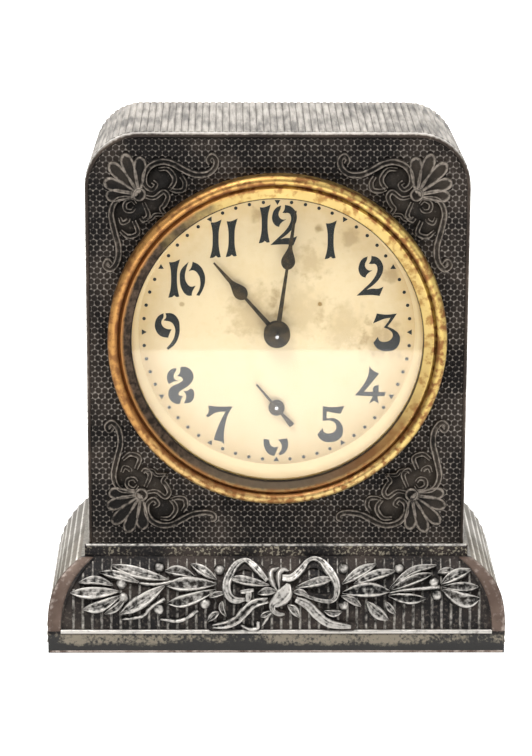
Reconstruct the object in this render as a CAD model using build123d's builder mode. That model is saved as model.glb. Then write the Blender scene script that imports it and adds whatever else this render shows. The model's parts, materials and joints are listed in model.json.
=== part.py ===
"""Cast mantel clock with a small seconds hand and a one-day lever movement.

+Z is up, the dial faces -Y, and the origin lies on the table under the middle of the case.
Depths are measured backwards from the flat front face of the upper casting, and places on the
dial are (across, up) from the middle of the dial.
"""

import os
from math import asin, atan2, cos, degrees, hypot, pi, radians, sin, sqrt

from build123d import *

# Upper casting
case_height = 181.9
body_width = 131.3
body_depth = 65.7
body_draft = 1.5
corner_radius = 18.5
face_wall = 3.5
side_wall = 3.0
dial_lift = 1.4
lug_size = 10.0
lug_height = 12.0

# Plinth casting
base_height = 35.7
base_flare = 14.2
foot_height = 8.5
band_height = 4.2
band_reach = 1.6
ledge_reach = 2.9
base_wall = 3.0
panel_recess = 0.8
panel_border = 4.7
panel_sill = 8.0

# Garland on the plinth, drawn on a plinth of this half width and length of flare
drawn_half = 79.85
drawn_length = 26.5
garland_rise = 0.55
vein_rise = 1.1
vein_share = 0.3
ribbon_width = 2.8
knot_radius = 2.6
berry_radius = 1.8
berry_lift = 0.2
lowest_berry = 7.5

# Bezel, glass and dial
bezel_radius = 58.4
bezel_reach = 6.2
bead_width = 3.4
groove_depth = 2.2
lip_radius = 50.2
lip_reach = 4.5
lip_gauge = 1.5
glass_radius = 52.0
glass_gauge = 1.8
skirt_length = 6.0
skirt_gauge = 1.2
sight_gauge = 0.8
sight_radius = 48.1
dial_radius = 50.6
dial_depth = 8.6
dial_gauge = 0.5
dial_foot_radius = 1.0
dial_foot_circle = 33.0

# Movement can and its fixings
can_radius = 51.8
can_gauge = 0.8
can_gap = 0.6
ear_width = 9.0
boss_circle = 64.0
boss_radius = 4.5
boss_length = 5.5
screw_radius = 1.5
screw_head = 2.8
screw_head_height = 1.8
screw_bite = 4.0

# Plates and pillars
motion_room = 7.4
plate_radius = 46.5
plate_gauge = 1.5
plate_gap = 26.0
pillar_circle = 43.0
pillar_radius = 2.5
pillar_neck = 1.5
nut_radius = 3.0
nut_height = 3.0
can_nut_height = 2.0

# Wheel work, with modules in millimetres of pitch diameter for each tooth
great_teeth = 72
centre_leaves = 10
great_module = 0.6
great_bearing = 120.0
centre_teeth = 64
third_leaves = 8
centre_module = 0.5
third_teeth = 60
fourth_leaves = 8
third_module = 0.45
fourth_teeth = 64
escape_leaves = 8
fourth_module = 0.4
escape_bearing = -20.0
seconds_drop = 27.0
cannon_leaves = 12
minute_teeth = 36
minute_module = 0.5
minute_leaves = 10
hour_teeth = 40
minute_bearing = 30.0
tooth_share = 0.42
tip_share = 0.16
tooth_rise = 0.9
tooth_fall = 1.3
trundle_share = 0.40
wheel_gauge = 1.2
shroud_gauge = 0.5
leaf_room = 0.8
rim_share = 0.14
spoke_width = 1.8
collet_share = 3.0

# Levels between the plates, from the inner face of the front plate
centre_level = 2.0
great_level = 5.0
great_gauge = 2.0
third_level = 8.0
balance_level = 12.0
fourth_level = 16.0
escape_level = 20.0
hairspring_level = 21.6
regulator_level = 24.2

# Winding side
ratchet_teeth = 24
ratchet_radius = 9.0
ratchet_depth = 1.3
click_gauge = 1.8
click_circle = 14.0
click_bearing = 250.0
click_sweep = 38.0
click_pad = 1.9
click_head = 1.8
click_head_height = 0.7
nose_clear = 1.5
leaf_gauge = 0.4
leaf_pad = 1.5
spring_strip = 0.5
spring_width = 12.0
spring_pitch = 2.2
spring_half_turns = 12
spring_core = 3.6
winding_radius = 2.6
key_reach = 13.5
key_span = 26.0
key_gauge = 2.2
key_boss = 3.8

# Escapement and balance
escape_count = 15
escape_radius = 8.0
escape_tooth = 2.2
escape_gauge = 1.0
escape_rim = 1.0
escape_spoke = 1.2
pallet_distance = 11.0
pallet_spread = 36.0
pallet_pin = 0.3
pallet_clear = 0.75
lever_gauge = 0.8
lever_width = 1.4
lever_boss = 2.2
lever_lift = 0.8
pallet_arm = 1.2
fork_length = 2.0
fork_slot = 1.2
fork_cheek = 0.8
pin_overlap = 0.4
balance_spot = (28.0, -10.0)
balance_radius = 12.0
balance_rim = 1.8
balance_gauge = 2.0
balance_arm = 2.2
balance_boss = 2.4
roller_gauge = 1.0
roller_radius = 3.4
impulse_circle = 2.4
impulse_pin = 0.35
fork_clear = 0.3
hairspring_strip = 0.15
hairspring_width = 1.2
hairspring_pitch = 0.66
hairspring_half_turns = 13
collet_radius = 1.6
regulator_reach = 10.0
regulator_swing = 20.0
regulator_gauge = 0.8
regulator_arm = 1.6
slot_spare = 8.0
slot_side = 0.5
index_pin = 0.8
index_rise = 3.0

# Arbors, hands and fits
arbor_radius = 1.0
pivot_radius = 0.6
centre_arbor_radius = 1.3
running_fit = 0.05
loose_fit = 0.1
end_shake = 0.2
hub_radius = 4.6
hub_gauge = 0.8
hand_gauge = 0.5
hand_gap = 1.2
hour_length = 33.4
hour_bulb = 19.0
hour_bearing = 319.0
minute_length = 44.5
minute_bulb = 26.0
minute_hand_bearing = 8.1
bulb_width = 4.8
stem_width = 1.8
neck_width = 1.0
seconds_length = 11.0
seconds_tail = 8.5
seconds_bearing = 320.0
seconds_hub = 2.8
knob_radius = 6.5
knob_height = 6.0
knob_flutes = 16

# Places that follow from the sizes above
body_half = body_width / 2
ledge_z = base_height - band_height
flare_depth = base_flare - ledge_reach
flare_rise = ledge_z - foot_height
flare_radius = (flare_depth**2 + flare_rise**2) / (2 * flare_depth)
flare_length = flare_radius * asin(flare_rise / flare_radius)
berry_turn = lowest_berry * flare_length / drawn_length / flare_radius
front_reach = base_flare - flare_radius + (flare_radius + berry_lift) * cos(berry_turn) + berry_radius
face_y = (front_reach - body_depth) / 2
back_y = face_y + body_depth
dial_z = (base_height + case_height) / 2 + dial_lift
draft_angle = degrees(atan2(body_draft, body_depth))
front_plate_face = dial_depth + dial_gauge + motion_room
front_plate_back = front_plate_face + plate_gauge
back_plate_face = front_plate_back + plate_gap
back_plate_back = back_plate_face + plate_gauge
can_floor = back_plate_back + nut_height
can_back = can_floor + can_gauge
can_front = skirt_length + can_gap
ear_depth = face_wall + boss_length


def across(depth, spot=(0.0, 0.0), bearing=None):
    """Plane parallel to the dial, facing the viewer; a bearing turns its x axis along a clock hand."""
    x_dir = (1, 0, 0)
    if bearing is not None:
        x_dir = (sin(radians(bearing)), 0, cos(radians(bearing)))
    return Plane(origin=(spot[0], face_y + depth, dial_z + spot[1]), x_dir=x_dir, z_dir=(0, -1, 0))


def along(spot=(0.0, 0.0)):
    """Plane through a spindle: its x is the radius and its y the depth behind the face."""
    return Plane(origin=(spot[0], face_y, dial_z + spot[1]), x_dir=(1, 0, 0), z_dir=(0, 0, 1))


def spindle(spot=(0.0, 0.0)):
    """Axis of a spindle, pointing backwards."""
    return Axis((spot[0], face_y, dial_z + spot[1]), (0, 1, 0))


def level(height):
    """Depth behind the face of a level between the plates."""
    return front_plate_back + height


def polar(spot, distance, angle):
    """Place at a distance and an angle (degrees, from +X towards +Z) from another place."""
    return (spot[0] + distance * cos(radians(angle)), spot[1] + distance * sin(radians(angle)))


def heading(start, end):
    """Angle in degrees from one place to another."""
    return degrees(atan2(end[1] - start[1], end[0] - start[0]))


def mesh_distance(teeth, leaves, module):
    """Distance between the arbors of a wheel and its pinion."""
    return module * (teeth + leaves) / 2


def turned(steps):
    """Half outline of a turned piece, from its (radius, start, end) steps."""
    points = [(0.0, steps[0][1])]
    for radius, start, end in steps:
        points += [(radius, start), (radius, end)]
    points.append((0.0, steps[-1][2]))
    return points


def toothed(teeth, module, angle):
    """Outline of a clock wheel with thinned teeth and a tooth gap at the given angle."""
    pitch = 2 * pi / teeth
    radius = module * teeth / 2
    root = radius - tooth_fall * module
    tip = radius + tooth_rise * module
    half = [(root, tooth_share), (radius, tooth_share), (tip, tip_share)]
    points = []
    for tooth in range(teeth):
        middle = radians(angle) + (tooth + 0.5) * pitch
        flank = [(r, middle - share * pitch / 2) for r, share in half]
        flank += [(r, middle + share * pitch / 2) for r, share in reversed(half)]
        points += [(r * cos(a), r * sin(a)) for r, a in flank]
    return points


def wheel_face(teeth, module, angle, bore, hub, spokes=4):
    """Face of a crossed-out wheel: teeth, rim, spokes and hub, with its bore."""
    radius = module * teeth / 2
    rim = radius * (1 - rim_share) - tooth_fall * module
    with BuildSketch() as windows:
        Circle(rim)
        Circle(hub, mode=Mode.SUBTRACT)
        with PolarLocations(0, spokes):
            Rectangle(rim * 1.1, spoke_width, align=(Align.MIN, Align.CENTER), mode=Mode.SUBTRACT)
    with BuildSketch() as face:
        with BuildLine():
            Polyline(*toothed(teeth, module, angle), close=True)
        make_face()
        add(windows.sketch, mode=Mode.SUBTRACT)
        Circle(bore, mode=Mode.SUBTRACT)
    return face.sketch


def trundle(module):
    """Radius of the round pins of a lantern pinion."""
    return trundle_share * pi * module / 2


def shroud(leaves, module):
    """Radius of the two discs that hold a lantern pinion's pins."""
    return module * leaves / 2 + 2 * trundle(module)


def lantern(leaves, module, angle, spot, wheel_start, wheel_gauge_here, bore=0.0):
    """Lantern pinion round a wheel's level: two shrouds with a ring of pins, one pin at the angle."""
    start = wheel_start - leaf_room - shroud_gauge
    end = wheel_start + wheel_gauge_here + leaf_room + shroud_gauge
    with BuildPart() as pinion:
        with BuildSketch(across(start + shroud_gauge, spot), across(end, spot)):
            Circle(shroud(leaves, module))
        extrude(amount=shroud_gauge)
        with BuildSketch(across(end, spot)):
            with PolarLocations(module * leaves / 2, leaves, start_angle=angle):
                Circle(trundle(module))
        extrude(amount=end - start)
        if bore:
            with BuildSketch(across(end, spot)):
                Circle(bore)
            extrude(amount=end - start, mode=Mode.SUBTRACT)
    return pinion.part


def save(piece, name):
    """Label a finished piece and write it to its own file."""
    piece.part.label = name
    export_step(piece.part, f"parts/{name}.step")


os.makedirs("parts", exist_ok=True)

# Places of the arbors
centre_spot = (0.0, 0.0)
fourth_spot = (0.0, -seconds_drop)
great_spot = polar(centre_spot, mesh_distance(great_teeth, centre_leaves, great_module), great_bearing)
centre_third = mesh_distance(centre_teeth, third_leaves, centre_module)
third_fourth = mesh_distance(third_teeth, fourth_leaves, third_module)
third_drop = (centre_third**2 - third_fourth**2 + seconds_drop**2) / (2 * seconds_drop)
third_spot = (-sqrt(centre_third**2 - third_drop**2), -third_drop)
escape_spot = polar(fourth_spot, mesh_distance(fourth_teeth, escape_leaves, fourth_module), escape_bearing)
lever_heading = heading(escape_spot, balance_spot)
pallet_spot = polar(escape_spot, pallet_distance, lever_heading)
minute_spot = polar(centre_spot, mesh_distance(minute_teeth, cannon_leaves, minute_module), minute_bearing)
hour_module = 2 * hypot(*minute_spot) / (minute_leaves + hour_teeth)
pillar_angles = (25.0, 155.0, 215.0, 325.0)
pillar_spots = [polar(centre_spot, pillar_circle, angle) for angle in pillar_angles]
boss_spots = [polar(centre_spot, boss_circle, 45.0 + 90.0 * quarter) for quarter in range(4)]
dial_foot_spots = [polar(centre_spot, dial_foot_circle, angle) for angle in (90.0, 210.0, 330.0)]
lug_x = body_half - body_draft - side_wall / 2 - lug_size / 2
lug_front = face_wall + lug_size / 2
lug_rear = body_depth - lug_size
lug_spots = [(x, face_y + depth) for x in (-lug_x, lug_x) for depth in (lug_front, lug_rear)]


# Plinth casting: the flare seen from the front meets the flare seen from the side in mitred corners


def flare(start, body_edge, inset, low, roof=None):
    """Half outline of the plinth beside an edge of the body, from its foot to its roof or only its ledge."""
    foot = body_edge + base_flare - inset
    ledge = body_edge + ledge_reach - inset
    band = body_edge + band_reach - inset
    Polyline((start, low), (foot, low), (foot, foot_height))
    TangentArc((foot, foot_height), (ledge, ledge_z), tangent=(0, 1))
    if roof is None:
        Line((ledge, ledge_z), (start, ledge_z))
    else:
        Polyline((ledge, ledge_z), (band, ledge_z), (band, roof), (start, roof))


def plinth(inset, low, roof, back_inset):
    """Flared block of the plinth, moved inwards all round by an inset."""
    side_plane = Plane(origin=(0, 0, 0), x_dir=(0, -1, 0), z_dir=(-1, 0, 0))
    with BuildPart() as block:
        with BuildSketch(Plane.XZ):
            with BuildLine():
                flare(0.0, body_half, inset, low, roof)
                mirror(about=Plane.YZ)
            make_face()
        extrude(amount=2 * body_depth, both=True)
        with BuildSketch(side_plane):
            with BuildLine():
                flare(-back_y + back_inset, -face_y, inset, low, roof)
                Line((-back_y + back_inset, roof), (-back_y + back_inset, low))
            make_face()
        extrude(amount=body_width, both=True, mode=Mode.INTERSECT)
    return block.part


plinth_shape = plinth(0.0, 0.0, base_height, 0.0)
plinth_hollow = plinth(base_wall, -1.0, base_height - base_wall, base_wall)
plinth_panel_floor = plinth(panel_recess, 0.0, base_height, 0.0)

with BuildPart() as panel_cut:
    with BuildSketch(Plane.XZ.offset(-face_y)):
        with BuildLine():
            flare(0.0, body_half, panel_border, panel_sill)
            mirror(about=Plane.YZ)
        make_face()
    extrude(amount=2 * base_flare)
    add(plinth_panel_floor, mode=Mode.SUBTRACT)

def proud(x, run, height=0.0):
    """Place on the plinth's front, from a place across and up the flare on the drawing of the garland."""
    turn = run * flare_length / drawn_length / flare_radius
    reach = flare_radius + height
    out = base_flare - flare_radius + reach * cos(turn)
    across_plinth = x * (body_half + base_flare) / drawn_half
    return Vector(across_plinth, face_y - out, foot_height + reach * sin(turn))


def seen(spot):
    """Place of a spot of the drawing as it is seen from the front."""
    place = proud(*spot)
    return Vector(place.X, place.Z)


def leaf(wide, tip, middle, base):
    """Outline of a leaf: two arcs from its tip, past both sides of its middle, to its base."""
    ends = [seen(spot) for spot in (tip, middle, base)]
    side = (ends[2] - ends[0]).rotate(Axis.Z, 90).normalized() * wide / 2
    with BuildSketch() as blade:
        with BuildLine():
            ThreePointArc(ends[0], ends[1] + side, ends[2])
            ThreePointArc(ends[2], ends[1] - side, ends[0])
        make_face()
    return blade.sketch


def ribbon(start, middle, end):
    """Outline of a stretch of ribbon with round ends."""
    path = ThreePointArc(seen(start), seen(middle), seen(end))
    with BuildSketch() as band:
        SlotArc(path, ribbon_width)
    return band.sketch


def foliage(share):
    """Outlines of the leaves, at a share of their widths."""
    with BuildSketch() as outlines:
        add(leaf(4.0 * share, (-57.5, 22.5), (-49.0, 20.0), (-38.0, 17.5)))
        add(leaf(2.9 * share, (-62.0, 20.0), (-55.5, 19.0), (-48.0, 16.5)))
        add(leaf(2.9 * share, (-69.0, 16.5), (-63.0, 17.3), (-57.0, 15.5)))
        add(leaf(4.0 * share, (-72.0, 13.0), (-64.0, 13.0), (-55.0, 13.5)))
        add(leaf(3.8 * share, (-67.5, 7.5), (-61.5, 8.5), (-54.5, 12.0)))
        add(leaf(2.4 * share, (-60.0, 6.0), (-56.0, 8.0), (-52.5, 11.5)))
        add(leaf(4.5 * share, (-54.5, 6.0), (-47.5, 10.0), (-39.0, 15.5)))
        add(leaf(3.4 * share, (-39.0, 20.5), (-34.0, 20.5), (-28.5, 18.5)))
        add(leaf(3.2 * share, (-30.0, 23.0), (-25.5, 20.5), (-21.0, 17.5)))
        add(leaf(4.7 * share, (-38.5, 15.5), (-31.0, 16.0), (-21.0, 16.0)))
        add(leaf(4.0 * share, (-38.0, 9.5), (-31.5, 10.5), (-21.0, 14.0)))
        add(leaf(2.9 * share, (-16.0, 18.0), (-10.0, 16.5), (-2.0, 16.0)))
        add(leaf(2.9 * share, (19.5, 18.0), (13.5, 16.5), (7.0, 16.0)))
        add(leaf(3.6 * share, (35.0, 23.0), (29.0, 20.0), (23.0, 16.0)))
        add(leaf(3.4 * share, (41.5, 20.5), (34.5, 19.0), (27.0, 16.0)))
        add(leaf(2.5 * share, (56.0, 22.5), (47.5, 20.5), (39.5, 14.5)))
        add(leaf(3.0 * share, (54.5, 19.5), (48.0, 17.5), (40.0, 14.0)))
        add(leaf(4.7 * share, (39.5, 13.5), (31.5, 14.0), (23.0, 13.0)))
        add(leaf(3.4 * share, (52.0, 11.0), (46.0, 11.0), (39.0, 12.0)))
        add(leaf(3.8 * share, (68.0, 21.0), (62.5, 19.0), (57.5, 16.0)))
        add(leaf(3.0 * share, (70.5, 15.0), (65.0, 15.0), (58.0, 15.0)))
        add(leaf(4.7 * share, (71.0, 11.0), (65.5, 10.5), (58.0, 14.0)))
        add(leaf(3.8 * share, (39.0, 4.0), (35.0, 6.5), (31.5, 10.0)))
        add(leaf(2.5 * share, (29.5, 8.5), (26.5, 10.5), (22.5, 12.0)))
    return outlines.sketch


with BuildSketch() as bow:
    add(ribbon((-2.0, 16.0), (-6.0, 21.5), (-11.0, 24.0)))
    add(ribbon((-11.0, 24.0), (-16.0, 20.5), (-17.5, 14.0)))
    add(ribbon((-17.5, 14.0), (-15.8, 11.3), (-12.0, 11.0)))
    add(ribbon((2.5, 18.5), (7.5, 20.5), (10.0, 23.5)))
    add(ribbon((10.0, 23.5), (13.5, 24.5), (17.0, 22.5)))
    add(ribbon((17.0, 22.5), (20.8, 16.5), (19.5, 11.8)))
    add(ribbon((19.5, 11.8), (13.0, 11.6), (7.0, 14.0)))
    add(ribbon((-2.0, 11.0), (-8.0, 9.3), (-12.5, 5.5)))
    add(ribbon((-12.5, 5.5), (-16.5, 2.4), (-22.5, 1.2)))
    add(ribbon((7.0, 12.5), (11.7, 9.2), (15.5, 5.0)))
    add(ribbon((15.5, 5.0), (20.0, 2.4), (26.5, 1.5)))
    add(ribbon((-1.5, 21.5), (1.5, 19.0), (3.0, 14.0)))
    add(ribbon((3.0, 12.0), (-1.2, 8.5), (2.0, 5.8)))
    with Locations(seen((3.3, 13.5))):
        Circle(knot_radius)
    with Locations(seen((-2.0, 13.5))):
        Circle(knot_radius)

with BuildPart() as garland:
    with BuildSketch(Plane.XZ.offset(-face_y)):
        add(bow.sketch)
        add(foliage(1.0))
    extrude(amount=2 * base_flare)
    add(plinth(-garland_rise, 0.0, base_height, 0.0), mode=Mode.INTERSECT)
    add(plinth_hollow, mode=Mode.SUBTRACT)

with BuildPart() as veins:
    with BuildSketch(Plane.XZ.offset(-face_y)):
        add(foliage(vein_share))
    extrude(amount=2 * base_flare)
    add(plinth(-vein_rise, 0.0, base_height, 0.0), mode=Mode.INTERSECT)
    add(plinth_hollow, mode=Mode.SUBTRACT)

with BuildPart() as case_base:
    add(plinth_shape)
    add(plinth_hollow, mode=Mode.SUBTRACT)
    add(panel_cut.part, mode=Mode.SUBTRACT)
    add(garland.part)
    add(veins.part)
    with Locations(
        proud(-41.0, 22.5, berry_lift),
        proud(-20.0, 21.5, berry_lift),
        proud(-54.2, 16.4, berry_lift),
        proud(-53.5, 11.5, berry_lift),
        proud(-41.0, lowest_berry, berry_lift),
        proud(-25.0, 9.5, berry_lift),
        proud(23.5, 22.0, berry_lift),
        proud(43.0, 22.0, berry_lift),
        proud(55.0, 17.0, berry_lift),
        proud(56.0, 12.5, berry_lift),
    ):
        Sphere(berry_radius)
    with BuildSketch(Plane.XY.offset(base_height)):
        with Locations(*lug_spots):
            Circle(screw_radius + loose_fit)
    extrude(amount=-base_wall, mode=Mode.SUBTRACT)
save(case_base, "case_base")


# Upper casting: a drafted shell, open behind and below, with lugs for the plinth and bosses for the can

below = 4 * body_draft


def arch(half_width, top, radius):
    """Face of the case outline, carried on below the plinth's top."""
    with BuildSketch() as outline:
        with Locations((0, base_height - below)):
            Rectangle(2 * half_width, top - base_height + below, align=(Align.CENTER, Align.MIN))
        fillet(outline.vertices().group_by(Axis.Y)[-1], radius)
    return outline.sketch


def backwards(depth):
    """Plane across the case that faces backwards, for drawing drafted walls."""
    return Plane(origin=(0, face_y + depth, 0), x_dir=(-1, 0, 0), z_dir=(0, 1, 0))


with BuildPart() as case_body:
    with BuildSketch(backwards(0.0)):
        add(arch(body_half, case_height, corner_radius))
    extrude(amount=body_depth, taper=draft_angle)
    with BuildSketch(backwards(face_wall)):
        add(arch(body_half - side_wall, case_height - side_wall, corner_radius - side_wall))
    extrude(amount=body_depth, taper=draft_angle, mode=Mode.SUBTRACT)
    with BuildSketch(Plane.XY.offset(base_height)):
        with Locations(*lug_spots):
            Rectangle(lug_size, lug_size)
    extrude(amount=lug_height)
    with BuildSketch(across(ear_depth)):
        with Locations(*boss_spots):
            Circle(boss_radius)
    extrude(amount=boss_length)
    with BuildSketch(across(ear_depth)):
        with Locations(*boss_spots):
            Circle(screw_radius + running_fit)
    extrude(amount=screw_bite + loose_fit, mode=Mode.SUBTRACT)
    with BuildSketch(Plane.XY.offset(base_height)):
        with Locations(*lug_spots):
            Circle(screw_radius + running_fit)
    extrude(amount=screw_bite + loose_fit, mode=Mode.SUBTRACT)
    with BuildSketch(across(face_wall)):
        Circle(glass_radius + loose_fit + skirt_gauge + loose_fit)
    extrude(amount=face_wall, mode=Mode.SUBTRACT)
    with Locations((0, 0, base_height)):
        Box(
            2 * body_width,
            4 * body_depth,
            4 * below,
            align=(Align.CENTER, Align.CENTER, Align.MAX),
            mode=Mode.SUBTRACT,
        )
save(case_body, "case_body")

with BuildPart() as base_screws:
    with BuildSketch(Plane.XY.offset(base_height - base_wall)):
        with Locations(*lug_spots):
            Circle(screw_head)
    extrude(amount=-screw_head_height)
    with BuildSketch(Plane.XY.offset(base_height - base_wall)):
        with Locations(*lug_spots):
            Circle(screw_radius)
    extrude(amount=base_wall + screw_bite)
save(base_screws, "base_screws")


# Bezel, glass and sight ring, all turned about the dial's axis

seat_radius = glass_radius + loose_fit
skirt_radius = seat_radius + skirt_gauge
glass_face = lip_gauge - lip_reach
glass_back = glass_face + glass_gauge
bead_foot = bezel_radius - bead_width
bead_middle = bezel_radius - bead_width / 2
groove_face = groove_depth - bezel_reach

with BuildPart() as bezel:
    with BuildSketch(along()):
        with BuildLine():
            Line((bezel_radius, 0.0), (bezel_radius, groove_face))
            ThreePointArc(
                (bezel_radius, groove_face),
                (bead_middle, -bezel_reach),
                (bead_foot, groove_face),
            )
            slope_top = (bead_foot - groove_depth / 2, groove_face - groove_depth / 2)
            Line((bead_foot, groove_face), slope_top)
            Line(slope_top, (lip_radius, -lip_reach))
            Polyline(
                (lip_radius, -lip_reach),
                (lip_radius, glass_face),
                (seat_radius, glass_face),
                (seat_radius, skirt_length),
                (skirt_radius, skirt_length),
                (skirt_radius, 0.0),
                (bezel_radius, 0.0),
            )
        make_face()
    revolve(axis=spindle())
save(bezel, "bezel")

with BuildPart() as crystal:
    with BuildSketch(across(glass_back)):
        Circle(glass_radius)
    extrude(amount=glass_gauge)
save(crystal, "crystal")

with BuildPart() as sight_ring:
    with BuildSketch(along()):
        with BuildLine():
            Polyline(
                (lip_radius, glass_back),
                (seat_radius - loose_fit, glass_back),
                (seat_radius - loose_fit, glass_back + sight_gauge),
                (lip_radius + sight_gauge, glass_back + sight_gauge),
                (sight_radius + sight_gauge, dial_depth),
                (sight_radius, dial_depth),
                close=True,
            )
        make_face()
    revolve(axis=spindle())
save(sight_ring, "sight_ring")


# Motion work behind the dial: pipes of the hour wheel and the cannon pinion slide over each other

dial_back = dial_depth + dial_gauge
hour_wheel_start = dial_back + 1.5
minute_wheel_start = front_plate_face - leaf_room - shroud_gauge - wheel_gauge - 2 * end_shake
cannon_radius = centre_arbor_radius + 0.7
hour_pipe_bore = cannon_radius + running_fit
hour_pipe_radius = hour_pipe_bore + 0.8
hour_hand_back = dial_depth - 1.6
minute_hand_back = hour_hand_back - hub_gauge - hand_gap
arbor_tip = minute_hand_back - hub_gauge - 2.6
seconds_hand_back = dial_depth - 1.0

with BuildPart() as dial:
    with BuildSketch(across(dial_back)):
        Circle(dial_radius)
        Circle(hour_pipe_radius + 3 * loose_fit, mode=Mode.SUBTRACT)
        with Locations(fourth_spot):
            Circle(pivot_radius + 4 * loose_fit, mode=Mode.SUBTRACT)
    extrude(amount=dial_gauge)
    with BuildSketch(across(front_plate_back)):
        with Locations(*dial_foot_spots):
            Circle(dial_foot_radius)
    extrude(amount=front_plate_back - dial_back)
save(dial, "dial")


# Movement can: a drum with a flat back and four ears that sit on the case's bosses

key_hole = winding_radius + 0.6
knob_hole = centre_arbor_radius + 0.7
slot_half = regulator_swing + slot_spare
slot_width = 2 * (index_pin + slot_side)
slot_path = CenterArc((0, 0), regulator_reach, -slot_half, 2 * slot_half)

with BuildPart() as movement_can:
    with BuildSketch(across(can_back)):
        Circle(can_radius)
    extrude(amount=can_back - can_front)
    with BuildSketch(across(ear_depth + can_gauge)):
        with PolarLocations(0, 4, start_angle=45):
            Rectangle(boss_circle, ear_width, align=(Align.MIN, Align.CENTER))
        with Locations(*boss_spots):
            Circle(ear_width / 2)
            Circle(screw_radius + loose_fit, mode=Mode.SUBTRACT)
    extrude(amount=can_gauge)
    with BuildSketch(across(can_floor)):
        Circle(can_radius - can_gauge)
    extrude(amount=can_floor, mode=Mode.SUBTRACT)
    with BuildSketch(across(can_back)):
        Circle(knob_hole)
        with Locations(great_spot):
            Circle(key_hole)
        with Locations(*pillar_spots):
            Circle(pillar_neck + loose_fit)
        with Locations(balance_spot):
            SlotArc(slot_path, slot_width)
    extrude(amount=can_gauge, mode=Mode.SUBTRACT)
save(movement_can, "movement_can")

with BuildPart() as can_screws:
    with BuildSketch(across(ear_depth + can_gauge + screw_head_height)):
        with Locations(*boss_spots):
            Circle(screw_head)
    extrude(amount=screw_head_height)
    with BuildSketch(across(ear_depth + can_gauge)):
        with Locations(*boss_spots):
            Circle(screw_radius)
    extrude(amount=can_gauge + screw_bite)
save(can_screws, "can_screws")


# Plates with their pivot holes, pillars and nuts

pivot_hole = pivot_radius + running_fit
balance_screw_radius = 2.0
stud_radius = 0.9
hair_stud_radius = 0.6
hair_outer = collet_radius + hairspring_strip / 2 + hairspring_pitch * hairspring_half_turns / 2
hair_stud_spot = polar(balance_spot, hair_outer + hairspring_strip / 2 + hair_stud_radius, 180.0)

with BuildPart() as front_plate:
    with BuildSketch(across(front_plate_back)):
        Circle(plate_radius)
        with Locations(*pillar_spots):
            Circle(pillar_neck, mode=Mode.SUBTRACT)
        with Locations(third_spot, escape_spot, pallet_spot, great_spot):
            Circle(pivot_hole, mode=Mode.SUBTRACT)
        with Locations(fourth_spot):
            Circle(arbor_radius + running_fit, mode=Mode.SUBTRACT)
        Circle(centre_arbor_radius + running_fit, mode=Mode.SUBTRACT)
        with Locations(*dial_foot_spots):
            Circle(dial_foot_radius + running_fit, mode=Mode.SUBTRACT)
        with Locations(balance_spot):
            Circle(balance_screw_radius, mode=Mode.SUBTRACT)
        with Locations(minute_spot):
            Circle(stud_radius, mode=Mode.SUBTRACT)
    extrude(amount=plate_gauge)
save(front_plate, "front_plate")

with BuildPart() as back_plate:
    with BuildSketch(across(back_plate_back)):
        Circle(plate_radius)
        with Locations(*pillar_spots):
            Circle(pillar_neck + running_fit, mode=Mode.SUBTRACT)
        with Locations(third_spot, fourth_spot, escape_spot, pallet_spot):
            Circle(pivot_hole, mode=Mode.SUBTRACT)
        Circle(centre_arbor_radius + running_fit, mode=Mode.SUBTRACT)
        with Locations(great_spot):
            Circle(winding_radius + running_fit, mode=Mode.SUBTRACT)
        with Locations(balance_spot):
            Circle(balance_screw_radius, mode=Mode.SUBTRACT)
            SlotArc(slot_path, slot_width, mode=Mode.SUBTRACT)
        with Locations(hair_stud_spot):
            Circle(hair_stud_radius, mode=Mode.SUBTRACT)
    extrude(amount=plate_gauge)
save(back_plate, "back_plate")

with BuildPart() as plate_pillars:
    with BuildSketch(across(back_plate_face)):
        with Locations(*pillar_spots):
            Circle(pillar_radius)
    extrude(amount=plate_gap)
    with BuildSketch(across(can_back + can_nut_height)):
        with Locations(*pillar_spots):
            Circle(pillar_neck)
    extrude(amount=can_back + can_nut_height - front_plate_face)
save(plate_pillars, "plate_pillars")

with BuildPart() as pillar_nuts:
    with BuildSketch(across(can_floor)):
        with Locations(*pillar_spots):
            RegularPolygon(nut_radius, 6)
            Circle(pillar_neck, mode=Mode.SUBTRACT)
    extrude(amount=nut_height)
save(pillar_nuts, "pillar_nuts")

with BuildPart() as can_nuts:
    with BuildSketch(across(can_back + can_nut_height)):
        with Locations(*pillar_spots):
            RegularPolygon(nut_radius, 6)
            Circle(pillar_neck, mode=Mode.SUBTRACT)
    extrude(amount=can_nut_height)
save(can_nuts, "can_nuts")


# Great wheel with its click work, and the winding arbor that runs through it

great_start = level(great_level)
ratchet_start = great_start + great_gauge + end_shake
click_spot = polar(great_spot, click_circle, click_bearing)

with BuildPart() as great_wheel:
    with BuildSketch(across(great_start + great_gauge, great_spot)):
        with BuildLine():
            Polyline(*toothed(great_teeth, great_module, heading(great_spot, centre_spot)), close=True)
        make_face()
        Circle(winding_radius + running_fit, mode=Mode.SUBTRACT)
        with Locations(polar((0, 0), click_circle, click_bearing)):
            Circle(stud_radius, mode=Mode.SUBTRACT)
    extrude(amount=great_gauge)
save(great_wheel, "great_wheel")


def ratchet_outline(teeth, tip, depth, angle):
    """Saw-tooth outline: each tooth climbs to its tip, then drops straight to the root."""
    points = []
    for tooth in range(teeth):
        start = radians(angle) + 2 * pi * tooth / teeth
        points.append((tip * cos(start), tip * sin(start)))
        points.append(((tip - depth) * cos(start), (tip - depth) * sin(start)))
    return points


nose_angle = click_bearing - click_sweep

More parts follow.
